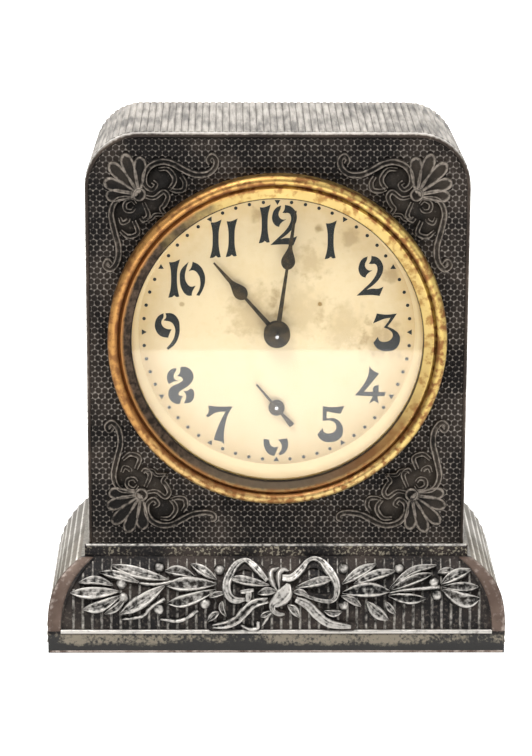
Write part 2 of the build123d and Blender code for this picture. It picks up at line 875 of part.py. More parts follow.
with BuildPart() as ratchet_wheel:
    with BuildSketch(across(ratchet_start + click_gauge, great_spot)):
        with BuildLine():
            Polyline(*ratchet_outline(ratchet_teeth, ratchet_radius, ratchet_depth, nose_angle), close=True)
        make_face()
        Circle(winding_radius, mode=Mode.SUBTRACT)
    extrude(amount=click_gauge)
save(ratchet_wheel, "ratchet_wheel")

nose_low = polar((0, 0), ratchet_radius - ratchet_depth * 0.55, nose_angle + nose_clear)
nose_high = polar((0, 0), ratchet_radius + 1.4, nose_angle + nose_clear)
click_root = polar((0, 0), click_circle, click_bearing)
click_heel = polar((0, 0), click_circle + 1.7, click_bearing + 3.0)
click_toe = polar((0, 0), click_circle - 1.2, click_bearing - 3.0)

with BuildPart() as click:
    with BuildSketch(across(ratchet_start + click_gauge, great_spot)):
        with BuildLine():
            Polyline(nose_low, nose_high, click_heel, click_toe, close=True)
        make_face()
        with Locations(click_root):
            Circle(click_pad)
            Circle(stud_radius + running_fit, mode=Mode.SUBTRACT)
    extrude(amount=click_gauge)
save(click, "click")

click_top = ratchet_start + click_gauge + end_shake

with BuildPart() as click_screw:
    with BuildSketch(along(click_spot)):
        with BuildLine():
            Polyline(
                *turned(
                    [
                        (stud_radius, great_start, click_top),
                        (click_head, click_top, click_top + click_head_height),
                    ]
                ),
                close=True,
            )
        make_face()
    revolve(axis=spindle(click_spot))
save(click_screw, "click_screw")

spring_back = ratchet_start + click_gauge
leaf_foot = polar((0, 0), click_circle - 0.5, click_bearing - 54.0)
leaf_middle = polar((0, 0), click_circle - 1.0, click_bearing - 38.0)
leaf_end = polar((0, 0), click_circle - 2.3, click_bearing - 21.0)

with BuildPart() as click_spring:
    with BuildSketch(across(spring_back, great_spot)):
        with Locations(leaf_foot):
            Circle(leaf_pad)
    extrude(amount=spring_back - great_start - great_gauge)
    with BuildSketch(across(spring_back, great_spot)):
        with BuildLine() as leaf:
            ThreePointArc(leaf_foot, leaf_middle, leaf_end)
        trace(leaf.line, line_width=leaf_gauge)
    extrude(amount=click_gauge)
save(click_spring, "click_spring")

key_start = can_back + 1.2
key_boss_length = 0.6 * key_reach
wing_middle = key_start + key_boss_length
wing_radius = key_reach - key_boss_length
wing_place = key_span / 2 - wing_radius
wing_eye = 0.45 * wing_radius
spring_start = click_top + click_head_height + 0.5
key_thread = winding_radius - 0.6

with BuildPart() as winding_arbor:
    with BuildSketch(along(great_spot)):
        with BuildLine():
            Polyline(
                *turned(
                    [
                        (pivot_radius, front_plate_face, front_plate_back + end_shake),
                        (winding_radius + 1.0, front_plate_back + end_shake, great_start - end_shake),
                        (winding_radius, great_start - end_shake, ratchet_start + click_gauge),
                        (spring_core, ratchet_start + click_gauge, spring_start + spring_width),
                        (winding_radius, spring_start + spring_width, key_start),
                        (key_thread, key_start, key_start + key_reach / 2),
                    ]
                ),
                close=True,
            )
        make_face()
    revolve(axis=spindle(great_spot))
save(winding_arbor, "winding_arbor")

with BuildPart() as winding_key:
    with BuildSketch(along(great_spot)):
        with BuildLine():
            Polyline(
                *turned([(key_boss, key_start, key_start + key_boss_length)]),
                close=True,
            )
        make_face()
    revolve(axis=spindle(great_spot))
    with BuildSketch(along(great_spot)):
        with Locations((-wing_place, wing_middle), (wing_place, wing_middle)):
            Circle(wing_radius)
        with Locations((0, wing_middle)):
            Rectangle(key_span - 2 * wing_radius, wing_radius)
        with Locations((-wing_place, wing_middle), (wing_place, wing_middle)):
            Circle(wing_eye, mode=Mode.SUBTRACT)
    extrude(amount=key_gauge / 2, both=True)
    with BuildSketch(across(key_start + key_reach / 2, great_spot)):
        Circle(key_thread)
    extrude(amount=key_reach / 2, mode=Mode.SUBTRACT)
save(winding_key, "winding_key")


def spiral_path(first, step, half_turns, last=None):
    """Half circles of a flat spring: each one starts a step further out than the one before it."""
    ends = [(first + step * turn) * (1 if turn % 2 == 0 else -1) for turn in range(half_turns + 1)]
    if last is not None:
        ends.append(last)
    for turn in range(len(ends) - 1):
        here = ends[turn]
        there = ends[turn + 1]
        middle = (here + there) / 2
        rise = abs(there - here) / 2 * (1 if turn % 2 == 0 else -1)
        ThreePointArc((here, 0), (middle, rise), (there, 0))


# Mainspring: a flat coil from the arbor's core to an eye round one of the pillars

hook_spot = pillar_spots[1]
hook_distance = hypot(hook_spot[0] - great_spot[0], hook_spot[1] - great_spot[1])
hook_heading = heading(great_spot, hook_spot)
eye_bore = pillar_radius + loose_fit
eye_radius = eye_bore + spring_strip
spring_first = spring_core + loose_fit + spring_strip / 2
spring_last = hook_distance - eye_bore - spring_strip / 2
spring_middle = spring_start + spring_width / 2
hook_dir = (cos(radians(hook_heading)), 0, sin(radians(hook_heading)))
spring_plane = Plane(across(spring_middle, great_spot).origin, x_dir=hook_dir, z_dir=(0, -1, 0))

with BuildPart() as mainspring:
    with BuildLine(spring_plane) as coil:
        spiral_path(spring_first, spring_pitch / 2, spring_half_turns - 1, spring_last)
    with BuildSketch(Plane(coil.line @ 0, x_dir=hook_dir, z_dir=coil.line % 0)):
        Rectangle(spring_strip, spring_width)
    sweep(path=coil.line)
    with BuildSketch(across(spring_start + spring_width, hook_spot)):
        Circle(eye_radius)
        Circle(eye_bore, mode=Mode.SUBTRACT)
    extrude(amount=spring_width)
save(mainspring, "mainspring")


# Centre wheel on its pipe, and the centre arbor that slips inside it when the hands are set

centre_start = level(centre_level)
pipe_bore = centre_arbor_radius + running_fit
pipe_radius = pipe_bore + 0.6
pipe_front = centre_start - leaf_room
pipe_back = great_start + great_gauge + leaf_room + shroud_gauge

with BuildPart() as centre_wheel:
    with BuildSketch(across(centre_start + wheel_gauge)):
        add(
            wheel_face(
                centre_teeth,
                centre_module,
                heading(centre_spot, third_spot),
                pipe_bore,
                shroud(centre_leaves, great_module),
            )
        )
    extrude(amount=wheel_gauge)
    with BuildSketch(across(pipe_back)):
        Circle(pipe_radius)
        Circle(pipe_bore, mode=Mode.SUBTRACT)
    extrude(amount=pipe_back - pipe_front)
    add(
        lantern(
            centre_leaves,
            great_module,
            heading(centre_spot, great_spot),
            centre_spot,
            great_start,
            great_gauge,
            pipe_bore,
        )
    )
save(centre_wheel, "centre_wheel")

knob_start = can_back + 1.6
collar_radius = centre_arbor_radius + 1.0

with BuildPart() as centre_arbor:
    with BuildSketch(along()):
        with BuildLine():
            Polyline(
                *turned(
                    [
                        (pivot_radius, arbor_tip, minute_hand_back),
                        (centre_arbor_radius, minute_hand_back, pipe_back + end_shake),
                        (collar_radius, pipe_back + end_shake, pipe_back + end_shake + 1.5),
                        (centre_arbor_radius, pipe_back + end_shake + 1.5, knob_start + knob_height / 2),
                    ]
                ),
                close=True,
            )
        make_face()
    revolve(axis=spindle())
save(centre_arbor, "centre_arbor")

with BuildPart() as set_knob:
    with BuildSketch(across(knob_start + knob_height)):
        Circle(knob_radius)
        with PolarLocations(knob_radius, knob_flutes):
            Circle(pi * knob_radius / knob_flutes / 2, mode=Mode.SUBTRACT)
    extrude(amount=knob_height)
    with BuildSketch(across(knob_start + knob_height / 2)):
        Circle(centre_arbor_radius)
    extrude(amount=knob_height / 2, mode=Mode.SUBTRACT)
save(set_knob, "set_knob")


# Motion work and the two main hands

cannon_pin_end = minute_wheel_start + wheel_gauge + leaf_room + shroud_gauge

with BuildPart() as cannon_pinion:
    with BuildSketch(across(cannon_pin_end)):
        Circle(cannon_radius)
        Circle(centre_arbor_radius, mode=Mode.SUBTRACT)
    extrude(amount=cannon_pin_end - minute_hand_back)
    add(
        lantern(
            cannon_leaves,
            minute_module,
            minute_bearing,
            centre_spot,
            minute_wheel_start,
            wheel_gauge,
            centre_arbor_radius,
        )
    )
save(cannon_pinion, "cannon_pinion")

with BuildPart() as hour_wheel:
    with BuildSketch(across(hour_wheel_start + wheel_gauge)):
        add(wheel_face(hour_teeth, hour_module, minute_bearing, hour_pipe_bore, hour_pipe_radius + 1.0))
    extrude(amount=wheel_gauge)
    with BuildSketch(across(hour_wheel_start + wheel_gauge)):
        Circle(hour_pipe_radius)
        Circle(hour_pipe_bore, mode=Mode.SUBTRACT)
    extrude(amount=hour_wheel_start + wheel_gauge - hour_hand_back)
save(hour_wheel, "hour_wheel")

with BuildPart() as minute_wheel:
    with BuildSketch(across(minute_wheel_start + wheel_gauge, minute_spot)):
        add(
            wheel_face(
                minute_teeth,
                minute_module,
                heading(minute_spot, centre_spot),
                stud_radius + running_fit,
                shroud(minute_leaves, hour_module),
            )
        )
    extrude(amount=wheel_gauge)
    minute_pinion_start = hour_wheel_start - leaf_room - shroud_gauge
    with BuildSketch(across(minute_wheel_start, minute_spot)):
        Circle(stud_radius + running_fit + 0.5)
        Circle(stud_radius + running_fit, mode=Mode.SUBTRACT)
    extrude(amount=minute_wheel_start - minute_pinion_start)
    add(
        lantern(
            minute_leaves,
            hour_module,
            heading(minute_spot, centre_spot),
            minute_spot,
            hour_wheel_start,
            wheel_gauge,
            stud_radius + running_fit,
        )
    )
save(minute_wheel, "minute_wheel")

with BuildPart() as minute_wheel_stud:
    with BuildSketch(along(minute_spot)):
        with BuildLine():
            Polyline(
                *turned(
                    [
                        (stud_radius, minute_pinion_start, minute_wheel_start + wheel_gauge + end_shake),
                        (stud_radius + 0.8, minute_wheel_start + wheel_gauge + end_shake, front_plate_face),
                        (stud_radius, front_plate_face, front_plate_back),
                    ]
                ),
                close=True,
            )
        make_face()
    revolve(axis=spindle(minute_spot))
save(minute_wheel_stud, "minute_wheel_stud")


def blade(length, bulb):
    """Face of a spade hand lying along x: a tapered stem, a pear-shaped bulb and a fine tip."""
    bulb_foot = bulb - bulb_width / 2
    with BuildSketch() as face:
        with BuildLine():
            Line((0, 0), (0, stem_width / 2))
            Line((0, stem_width / 2), (bulb_foot, neck_width / 2))
            Spline(
                (bulb_foot, neck_width / 2),
                (bulb_foot + bulb_width * 0.18, bulb_width * 0.36),
                (bulb, bulb_width / 2),
                (bulb + bulb_width * 0.62, bulb_width * 0.34),
                (bulb + bulb_width * 1.35, neck_width * 0.7),
            )
            Polyline((bulb + bulb_width * 1.35, neck_width * 0.7), (length, neck_width * 0.3), (length, 0))
            mirror(about=Plane.XZ)
        make_face()
    return face.sketch


with BuildPart() as hour_hand:
    with BuildSketch(across(hour_hand_back, bearing=hour_bearing)):
        Circle(hub_radius)
        Circle(hour_pipe_bore, mode=Mode.SUBTRACT)
    extrude(amount=hub_gauge)
    with BuildSketch(across(hour_hand_back, bearing=hour_bearing)):
        add(blade(hour_length, hour_bulb))
        Circle(hub_radius - 0.5, mode=Mode.SUBTRACT)
    extrude(amount=hand_gauge)
save(hour_hand, "hour_hand")

with BuildPart() as minute_hand:
    with BuildSketch(across(minute_hand_back, bearing=minute_hand_bearing)):
        Circle(hub_radius)
        Circle(pivot_radius, mode=Mode.SUBTRACT)
    extrude(amount=hub_gauge)
    with BuildSketch(across(minute_hand_back, bearing=minute_hand_bearing)):
        add(blade(minute_length, minute_bulb))
        Circle(hub_radius - 0.5, mode=Mode.SUBTRACT)
    extrude(amount=hand_gauge)
save(minute_hand, "minute_hand")


# Third wheel

third_start = level(third_level)
back_shake = back_plate_face - end_shake

with BuildPart() as third_arbor:
    with BuildSketch(along(third_spot)):
        with BuildLine():
            Polyline(
                *turned(
                    [
                        (pivot_radius, front_plate_face, front_plate_back + end_shake),
                        (arbor_radius, front_plate_back + end_shake, back_shake),
                        (pivot_radius, back_shake, back_plate_back),
                    ]
                ),
                close=True,
            )
        make_face()
    revolve(axis=spindle(third_spot))
    add(
        lantern(
            third_leaves,
            centre_module,
            heading(third_spot, centre_spot),
            third_spot,
            centre_start,
            wheel_gauge,
        )
    )
save(third_arbor, "third_arbor")

with BuildPart() as third_wheel:
    with BuildSketch(across(third_start + wheel_gauge, third_spot)):
        add(
            wheel_face(
                third_teeth,
                third_module,
                heading(third_spot, fourth_spot),
                arbor_radius,
                collet_share * arbor_radius,
            )
        )
    extrude(amount=wheel_gauge)
save(third_wheel, "third_wheel")


# Fourth wheel, whose arbor carries the seconds hand through the dial

fourth_start = level(fourth_level)

with BuildPart() as fourth_arbor:
    with BuildSketch(along(fourth_spot)):
        with BuildLine():
            Polyline(
                *turned(
                    [
                        (pivot_radius, seconds_hand_back - hub_gauge - 0.5, front_plate_face),
                        (arbor_radius, front_plate_face, front_plate_back + end_shake),
                        (arbor_radius + 0.4, front_plate_back + end_shake, front_plate_back + 1.0),
                        (arbor_radius, front_plate_back + 1.0, back_shake),
                        (pivot_radius, back_shake, back_plate_back),
                    ]
                ),
                close=True,
            )
        make_face()
    revolve(axis=spindle(fourth_spot))
    add(
        lantern(
            fourth_leaves,
            third_module,
            heading(fourth_spot, third_spot),
            fourth_spot,
            third_start,
            wheel_gauge,
        )
    )
save(fourth_arbor, "fourth_arbor")

with BuildPart() as fourth_wheel:
    with BuildSketch(across(fourth_start + wheel_gauge, fourth_spot)):
        add(
            wheel_face(
                fourth_teeth,
                fourth_module,
                heading(fourth_spot, escape_spot),
                arbor_radius,
                collet_share * arbor_radius,
            )
        )
    extrude(amount=wheel_gauge)
save(fourth_wheel, "fourth_wheel")

with BuildPart() as seconds_hand:
    with BuildSketch(across(seconds_hand_back, fourth_spot, seconds_bearing)):
        Circle(seconds_hub)
        Circle(pivot_radius, mode=Mode.SUBTRACT)
    extrude(amount=hub_gauge)
    with BuildSketch(across(seconds_hand_back, fourth_spot, seconds_bearing)):
        with BuildLine():
            Polyline(
                (-seconds_tail, neck_width),
                (-seconds_hub, neck_width / 2),
                (seconds_length, neck_width * 0.3),
                (seconds_length, -neck_width * 0.3),
                (-seconds_hub, -neck_width / 2),
                (-seconds_tail, -neck_width),
                close=True,
            )
        make_face()
        Circle(seconds_hub - 0.5, mode=Mode.SUBTRACT)
    extrude(amount=hand_gauge)
save(seconds_hand, "seconds_hand")


# Escape wheel with raked teeth

escape_start = level(escape_level)

with BuildPart() as escape_arbor:
    with BuildSketch(along(escape_spot)):
        with BuildLine():
            Polyline(
                *turned(
                    [
                        (pivot_radius, front_plate_face, front_plate_back + end_shake),
                        (arbor_radius, front_plate_back + end_shake, back_shake),
                        (pivot_radius, back_shake, back_plate_back),
                    ]
                ),
                close=True,
            )
        make_face()
    revolve(axis=spindle(escape_spot))
    add(
        lantern(
            escape_leaves,
            fourth_module,
            heading(escape_spot, fourth_spot),
            escape_spot,
            fourth_start,
            wheel_gauge,
        )
    )
save(escape_arbor, "escape_arbor")


def raked_outline(teeth, tip, depth):
    """Outline of an escape wheel: narrow teeth that lean forward from wide round gaps."""
    points = []
    for tooth in range(teeth):
        start = 2 * pi * tooth / teeth
        pitch = 2 * pi / teeth
        for radius, share in ((tip - depth, 0.0), (tip, 0.42), (tip, 0.52), (tip - depth, 0.36)):
            angle = start + share * pitch
            points.append((radius * cos(angle), radius * sin(angle)))
    return points


with BuildPart() as escape_wheel:
    with BuildSketch(across(escape_start + escape_gauge, escape_spot)):
        with BuildLine():
            Polyline(*raked_outline(escape_count, escape_radius, escape_tooth), close=True)
        make_face()
        with BuildSketch(mode=Mode.SUBTRACT):
            Circle(escape_radius - escape_tooth - escape_rim)
            Circle(2.2 * arbor_radius, mode=Mode.SUBTRACT)
            with PolarLocations(0, 4):
                Rectangle(escape_radius, escape_spoke, align=(Align.MIN, Align.CENTER), mode=Mode.SUBTRACT)
        Circle(arbor_radius, mode=Mode.SUBTRACT)
    extrude(amount=escape_gauge)
save(escape_wheel, "escape_wheel")


# Pallet lever: two round steel pins span three teeth, and a fork faces the balance

lever_start = escape_start - lever_gauge - lever_lift
pin_reach = escape_radius + pallet_pin + pallet_clear
pin_spots = [polar(escape_spot, pin_reach, lever_heading + side * pallet_spread) for side in (-1, 1)]
lever_length = hypot(balance_spot[0] - pallet_spot[0], balance_spot[1] - pallet_spot[1])
fork_end = lever_length - impulse_circle - impulse_pin - fork_clear
fork_mouth = 2 * impulse_pin + 2 * loose_fit


def beside_lever(spot):
    """A place in the lever's own frame: x along the lever towards the balance."""
    angle = radians(lever_heading)
    across_x = spot[0] - pallet_spot[0]
    across_z = spot[1] - pallet_spot[1]
    return (across_x * cos(angle) + across_z * sin(angle), across_z * cos(angle) - across_x * sin(angle))


lever_plane = Plane(
    across(lever_start + lever_gauge, pallet_spot).origin,
    x_dir=(cos(radians(lever_heading)), 0, sin(radians(lever_heading))),
    z_dir=(0, -1, 0),
)

with BuildPart() as pallet_arbor:
    with BuildSketch(along(pallet_spot)):
        with BuildLine():
            Polyline(
                *turned(
                    [
                        (pivot_radius, front_plate_face, front_plate_back + end_shake),
                        (arbor_radius, front_plate_back + end_shake, back_shake),
                        (pivot_radius, back_shake, back_plate_back),
                    ]
                ),
                close=True,
            )
        make_face()
    revolve(axis=spindle(pallet_spot))
save(pallet_arbor, "pallet_arbor")

with BuildPart() as pallet_lever:
    with BuildSketch(lever_plane):
        Circle(lever_boss)
        for pin in pin_spots:
            with BuildLine() as arm:
                Line((0, 0), beside_lever(pin))
            trace(arm.line, line_width=pallet_arm)
            with Locations(beside_lever(pin)):
                Circle(2.4 * pallet_pin)
        Rectangle(fork_end, lever_width, align=(Align.MIN, Align.CENTER))
        with Locations((fork_end, 0)):
            Rectangle(fork_length, fork_mouth + 2 * fork_cheek, align=(Align.MAX, Align.CENTER))
            Rectangle(fork_slot, fork_mouth, align=(Align.MAX, Align.CENTER), mode=Mode.SUBTRACT)
        Circle(arbor_radius, mode=Mode.SUBTRACT)
        with Locations(*[beside_lever(pin) for pin in pin_spots]):
            Circle(pallet_pin, mode=Mode.SUBTRACT)
    extrude(amount=lever_gauge)
save(pallet_lever, "pallet_lever")

with BuildPart() as pallet_pins:
    with BuildSketch(across(escape_start + escape_gauge + pin_overlap)):
        with Locations(*pin_spots):
            Circle(pallet_pin)
    extrude(amount=escape_start + escape_gauge + pin_overlap - lever_start)
save(pallet_pins, "pallet_pins")


# Balance: staff between two hollow-ended screws, wheel, roller and hairspring

balance_start = level(balance_level)
hair_start = level(hairspring_level)
front_screw_end = front_plate_back + 2.0
rear_screw_end = level(regulator_level) - 0.6
cup_depth = 1.0
staff_front = front_screw_end + end_shake
staff_back = rear_screw_end - end_shake

with BuildPart() as balance_screws:
    with BuildSketch(along(balance_spot)):
        with BuildLine():
            Polyline(
                *turned(
                    [
                        (balance_screw_radius + 0.8, front_plate_face - 1.0, front_plate_face),
                        (balance_screw_radius, front_plate_face, front_screw_end),
                    ]
                ),
                close=True,
            )
        make_face()
        with BuildLine():
            Polyline(
                *turned(
                    [
                        (balance_screw_radius, rear_screw_end, back_plate_back),
                        (balance_screw_radius + 0.8, back_plate_back, back_plate_back + 1.0),
                    ]
                ),
                close=True,
            )
        make_face()
    revolve(axis=spindle(balance_spot))
    with BuildSketch(across(front_screw_end, balance_spot)):
        Circle(pivot_radius + running_fit)
    extrude(amount=cup_depth, mode=Mode.SUBTRACT)
    with BuildSketch(across(rear_screw_end + cup_depth, balance_spot)):
        Circle(pivot_radius + running_fit)
    extrude(amount=cup_depth, mode=Mode.SUBTRACT)
save(balance_screws, "balance_screws")

with BuildPart() as balance_staff:
    with BuildSketch(along(balance_spot)):
        with BuildLine():
            Polyline(
                *turned(
                    [
                        (pivot_radius, staff_front - cup_depth, staff_front),
                        (arbor_radius, staff_front, staff_back),
                        (pivot_radius, staff_back, staff_back + cup_depth),
                    ]
                ),
                close=True,
            )
        make_face()
    revolve(axis=spindle(balance_spot))
    with BuildSketch(across(hair_start + hairspring_width + 0.2, balance_spot)):
        Circle(collet_radius - loose_fit)
    extrude(amount=hairspring_width + 0.4)
save(balance_staff, "balance_staff")

with BuildPart() as balance_wheel:
    with BuildSketch(across(balance_start + balance_gauge, balance_spot)):
        Circle(balance_radius)
        Circle(balance_radius - balance_rim, mode=Mode.SUBTRACT)
        Rectangle(2 * balance_radius - balance_rim, balance_arm)
        Circle(balance_boss)
        Circle(arbor_radius, mode=Mode.SUBTRACT)
    extrude(amount=balance_gauge)
save(balance_wheel, "balance_wheel")

roller_start = lever_start - pin_overlap - roller_gauge
impulse_spot = polar(balance_spot, impulse_circle, lever_heading + 180.0)

with BuildPart() as roller:
    with BuildSketch(across(roller_start + roller_gauge, balance_spot)):
        Circle(roller_radius)
        Circle(arbor_radius, mode=Mode.SUBTRACT)
    extrude(amount=roller_gauge)
    with BuildSketch(across(lever_start + lever_gauge + pin_overlap, impulse_spot)):
        Circle(impulse_pin)
    extrude(amount=lever_gauge + 2 * pin_overlap)
save(roller, "roller")

hair_plane = across(hair_start + hairspring_width / 2, balance_spot)

with BuildPart() as hairspring:
    with BuildLine(hair_plane) as hair_coil:
        spiral_path(collet_radius + hairspring_strip / 2, hairspring_pitch / 2, hairspring_half_turns)
    with BuildSketch(Plane(hair_coil.line @ 0, x_dir=(1, 0, 0), z_dir=hair_coil.line % 0)):
        Rectangle(hairspring_strip, hairspring_width)
    sweep(path=hair_coil.line)
save(hairspring, "hairspring")

with BuildPart() as hairspring_stud:
    with BuildSketch(across(back_plate_back, hair_stud_spot)):
        Circle(hair_stud_radius)
    extrude(amount=back_plate_back - hair_start)
save(hairspring_stud, "hairspring_stud")


# Regulator: turns round the rear balance screw, and its pin shows behind the can

regulator_start = level(regulator_level)
index_end = can_back + index_rise

with BuildPart() as regulator:
    with BuildSketch(across(regulator_start + regulator_gauge, balance_spot)):
        Circle(balance_screw_radius + regulator_arm)
        Rectangle(regulator_reach, regulator_arm, align=(Align.MIN, Align.CENTER))
        with Locations((regulator_reach, 0)):
            Circle(1.5 * index_pin)
        Circle(balance_screw_radius + running_fit, mode=Mode.SUBTRACT)
    extrude(amount=regulator_gauge)
    with BuildSketch(across(index_end, polar(balance_spot, regulator_reach, 0.0))):
        Circle(index_pin)
    extrude(amount=index_end - regulator_start - regulator_gauge)
save(regulator, "regulator")
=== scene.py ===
import json
from math import acos, cos, pi, radians, sin

import bmesh
import bpy
from mathutils import Matrix, Vector


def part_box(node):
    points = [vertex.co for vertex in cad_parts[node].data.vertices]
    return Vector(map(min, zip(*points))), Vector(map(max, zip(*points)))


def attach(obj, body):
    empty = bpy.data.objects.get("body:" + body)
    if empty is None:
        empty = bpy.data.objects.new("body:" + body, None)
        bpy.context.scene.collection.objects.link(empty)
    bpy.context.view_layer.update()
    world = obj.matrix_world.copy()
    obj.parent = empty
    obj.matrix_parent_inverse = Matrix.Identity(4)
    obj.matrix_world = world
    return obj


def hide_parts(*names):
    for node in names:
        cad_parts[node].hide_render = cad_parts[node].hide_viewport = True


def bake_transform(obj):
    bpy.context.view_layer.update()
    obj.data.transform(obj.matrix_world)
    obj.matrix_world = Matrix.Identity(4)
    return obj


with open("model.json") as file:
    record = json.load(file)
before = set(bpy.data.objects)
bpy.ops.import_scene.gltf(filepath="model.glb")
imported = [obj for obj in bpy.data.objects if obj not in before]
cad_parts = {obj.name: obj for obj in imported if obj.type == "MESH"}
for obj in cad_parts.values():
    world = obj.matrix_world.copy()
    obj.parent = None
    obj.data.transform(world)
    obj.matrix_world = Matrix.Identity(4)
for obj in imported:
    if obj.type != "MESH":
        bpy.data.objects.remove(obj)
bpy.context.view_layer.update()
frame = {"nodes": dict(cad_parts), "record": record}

# Studio: a broad pale table under soft light, seen from a little over a metre away and slightly from
# above. A bright sheet lies on it in front of the clock, and the lower half of the glass mirrors that.
mm = 0.001
face_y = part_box("case_body")[0].y / mm
scene = bpy.context.scene
scene.view_settings.view_transform = "Standard"


class Wire:
    """A socket of a node tree: arithmetic on it adds Math nodes, and node() adds any other node."""

    def __init__(self, tree, socket=None):
        self.tree = tree
        self.socket = socket

    def node(self, kind, settings=None, inputs=None, out=0):
        """Any node, from its type, its settings, and the values or links of its sockets."""
        made = self.tree.nodes.new(kind)
        for name, value in (settings or {}).items():
            setattr(made, name, value)
        for name, value in (inputs or {}).items():
            if isinstance(value, Wire):
                self.tree.links.new(value.socket, made.inputs[name])
            else:
                made.inputs[name].default_value = value
        return Wire(self.tree, made.outputs[out])

    def math(self, operation, first, second=0.0):
        return self.node("ShaderNodeMath", {"operation": operation}, {0: first, 1: second})

    def __add__(self, other):
        return self.math("ADD", self, other)

    def __radd__(self, other):
        return self.math("ADD", other, self)

    def __sub__(self, other):
        return self.math("SUBTRACT", self, other)

    def __rsub__(self, other):
        return self.math("SUBTRACT", other, self)

    def __mul__(self, other):
        return self.math("MULTIPLY", self, other)

    def __rmul__(self, other):
        return self.math("MULTIPLY", other, self)

    def __truediv__(self, other):
        return self.math("DIVIDE", self, other)

    def __rtruediv__(self, other):
        return self.math("DIVIDE", other, self)

    def __abs__(self):
        return self.math("ABSOLUTE", self)

    def axis(self, letter):
        """One coordinate of this vector."""
        return self.node("ShaderNodeSeparateXYZ", {}, {"Vector": self}, letter)

    def diagonal(self, other):
        """Length of the slanting line that goes this far across and the other length up."""
        return self.math("SQRT", self * self + other * other)

    def mix(self, first, second):
        """Colour that goes from the first to the second as this socket goes from 0 to 1."""
        ends = {"Factor": self}
        for socket, colour in ((6, first), (7, second)):
            ends[socket] = colour if isinstance(colour, Wire) else (*colour, 1.0)
        return self.node("ShaderNodeMix", {"data_type": "RGBA"}, ends, 2)

    def between(self, low, high):
        """0 below the low value and 1 above the high one, with a soft step between."""
        ends = {"Value": self, "From Min": low, "From Max": high}
        return self.node("ShaderNodeMapRange", {"interpolation_type": "SMOOTHSTEP"}, ends)

    def noise(self, size, detail=3.0):
        """Cloudy variation from 0 to 1 over this place, with features of about a size in millimetres."""
        ends = {"Vector": self, "Scale": 1.0 / (size * mm), "Detail": detail}
        return self.node("ShaderNodeTexNoise", {}, ends)

    def bump(self, depth):
        """Normal of a surface that this socket raises by up to a depth in millimetres."""
        ends = {"Height": self, "Distance": depth * mm, "Strength": 1.0}
        return self.node("ShaderNodeBump", {}, ends, "Normal")


def finish(name, steady, shades):
    """Material with steady sockets, and with the varying ones that shades(place) returns."""
    made = bpy.data.materials.new(name)
    made.use_nodes = True
    shader = made.node_tree.nodes["Principled BSDF"]
    for socket, value in steady.items():
        shader.inputs[socket].default_value = value
    place = Wire(made.node_tree).node("ShaderNodeTexCoord", out="Object")
    for socket, value in shades(place).items():
        made.node_tree.links.new(value.socket, shader.inputs[socket])
    return made


def add_object(name, data):
    """Object with its data, in the scene."""
    made = bpy.data.objects.new(name, data)
    scene.collection.objects.link(made)
    return made


sheet_front = -0.425
sheet_back = -0.25
sheet_half = 0.12


def table_shades(place):
    y = place.axis("Y")
    near = y.between(sheet_front - 0.04, sheet_front)
    beside = abs(place.axis("X")).between(sheet_half, sheet_half + 0.10)
    behind = y.between(sheet_back, sheet_back + 0.09)
    bright = y.between(sheet_front, sheet_front + 0.008) * (1.0 - behind) * (1.0 - beside)
    glow = near.mix((0.0, 0.0, 0.0), (0.13, 0.13, 0.13))
    return {
        "Base Color": near.mix((0.40, 0.40, 0.40), (0.85, 0.85, 0.85)),
        "Emission Color": bright.mix(glow, (0.92, 0.92, 0.92)),
    }


table_paper = finish("table_paper", {"Roughness": 0.9, "Emission Strength": 5.0}, table_shades)
table_half = 5.0
table_mesh = bpy.data.meshes.new("table")
table_corners = [(-table_half, -table_half, 0), (table_half, -table_half, 0)]
table_corners += [(table_half, table_half, 0), (-table_half, table_half, 0)]
table_mesh.from_pydata(table_corners, [], [(0, 1, 2, 3)])
table_mesh.materials.append(table_paper)
table = add_object("table", table_mesh)

world = bpy.data.worlds.new("soft_room")
world.use_nodes = True
room_light = world.node_tree.nodes["Background"]
room_light.inputs["Color"].default_value = (1.0, 1.0, 1.0, 1.0)
room_light.inputs["Strength"].default_value = 0.32
scene.world = world


def softbox(name, place, aim, size, power):
    """Square soft light that looks at a point."""
    data = bpy.data.lights.new(name, "AREA")
    data.size = size
    data.energy = power
    toward = Vector(aim) - Vector(place)
    turn = toward.to_track_quat("-Z", "Y").to_matrix().to_4x4()
    add_object(name, data).matrix_world = Matrix.Translation(place) @ turn


clock_middle = (0.0, 0.0, 0.09)
softbox("key_light", (-0.35, -0.6, 1.25), clock_middle, 0.7, 19.0)
softbox("fill_light", (1.0, -0.8, 0.7), clock_middle, 0.9, 6.0)
softbox("top_light", (0.1, 0.35, 1.5), clock_middle, 1.2, 13.0)
softbox("back_light", (0.0, 1.5, 0.62), clock_middle, 1.4, 16.0)

camera_data = bpy.data.cameras.new("photo_camera")
camera_data.lens = 151.3
camera_distance = 1.1011
camera_target = Vector((-3.82, face_y, 96.02)) * mm
pitch = radians(15.70)
yaw = radians(-0.73)
roll = radians(0.22)
back_way = Vector((sin(yaw) * cos(pitch), -cos(yaw) * cos(pitch), sin(pitch)))
level_way = Vector((cos(yaw), sin(yaw), 0.0))
upright_way = back_way.cross(level_way)
right_way = cos(roll) * level_way + sin(roll) * upright_way
up_way = cos(roll) * upright_way - sin(roll) * level_way
camera_turn = Matrix((right_way, up_way, back_way)).transposed().to_4x4()
camera = add_object("photo_camera", camera_data)
camera.matrix_world = Matrix.Translation(camera_target + camera_distance * back_way) @ camera_turn
scene.camera = camera

# Plinth: one flared iron casting, hollow underneath and blackened. Its sides are painted pale, a painted
# sheen of the light that grazes them, and its foot is rubbed bare along the top. Four screws from below
# hold the case on it.
back_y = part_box("case_body")[1].y / mm
body_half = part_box("case_body")[1].x / mm
ledge_z = 31.5
foot_top = 8.5


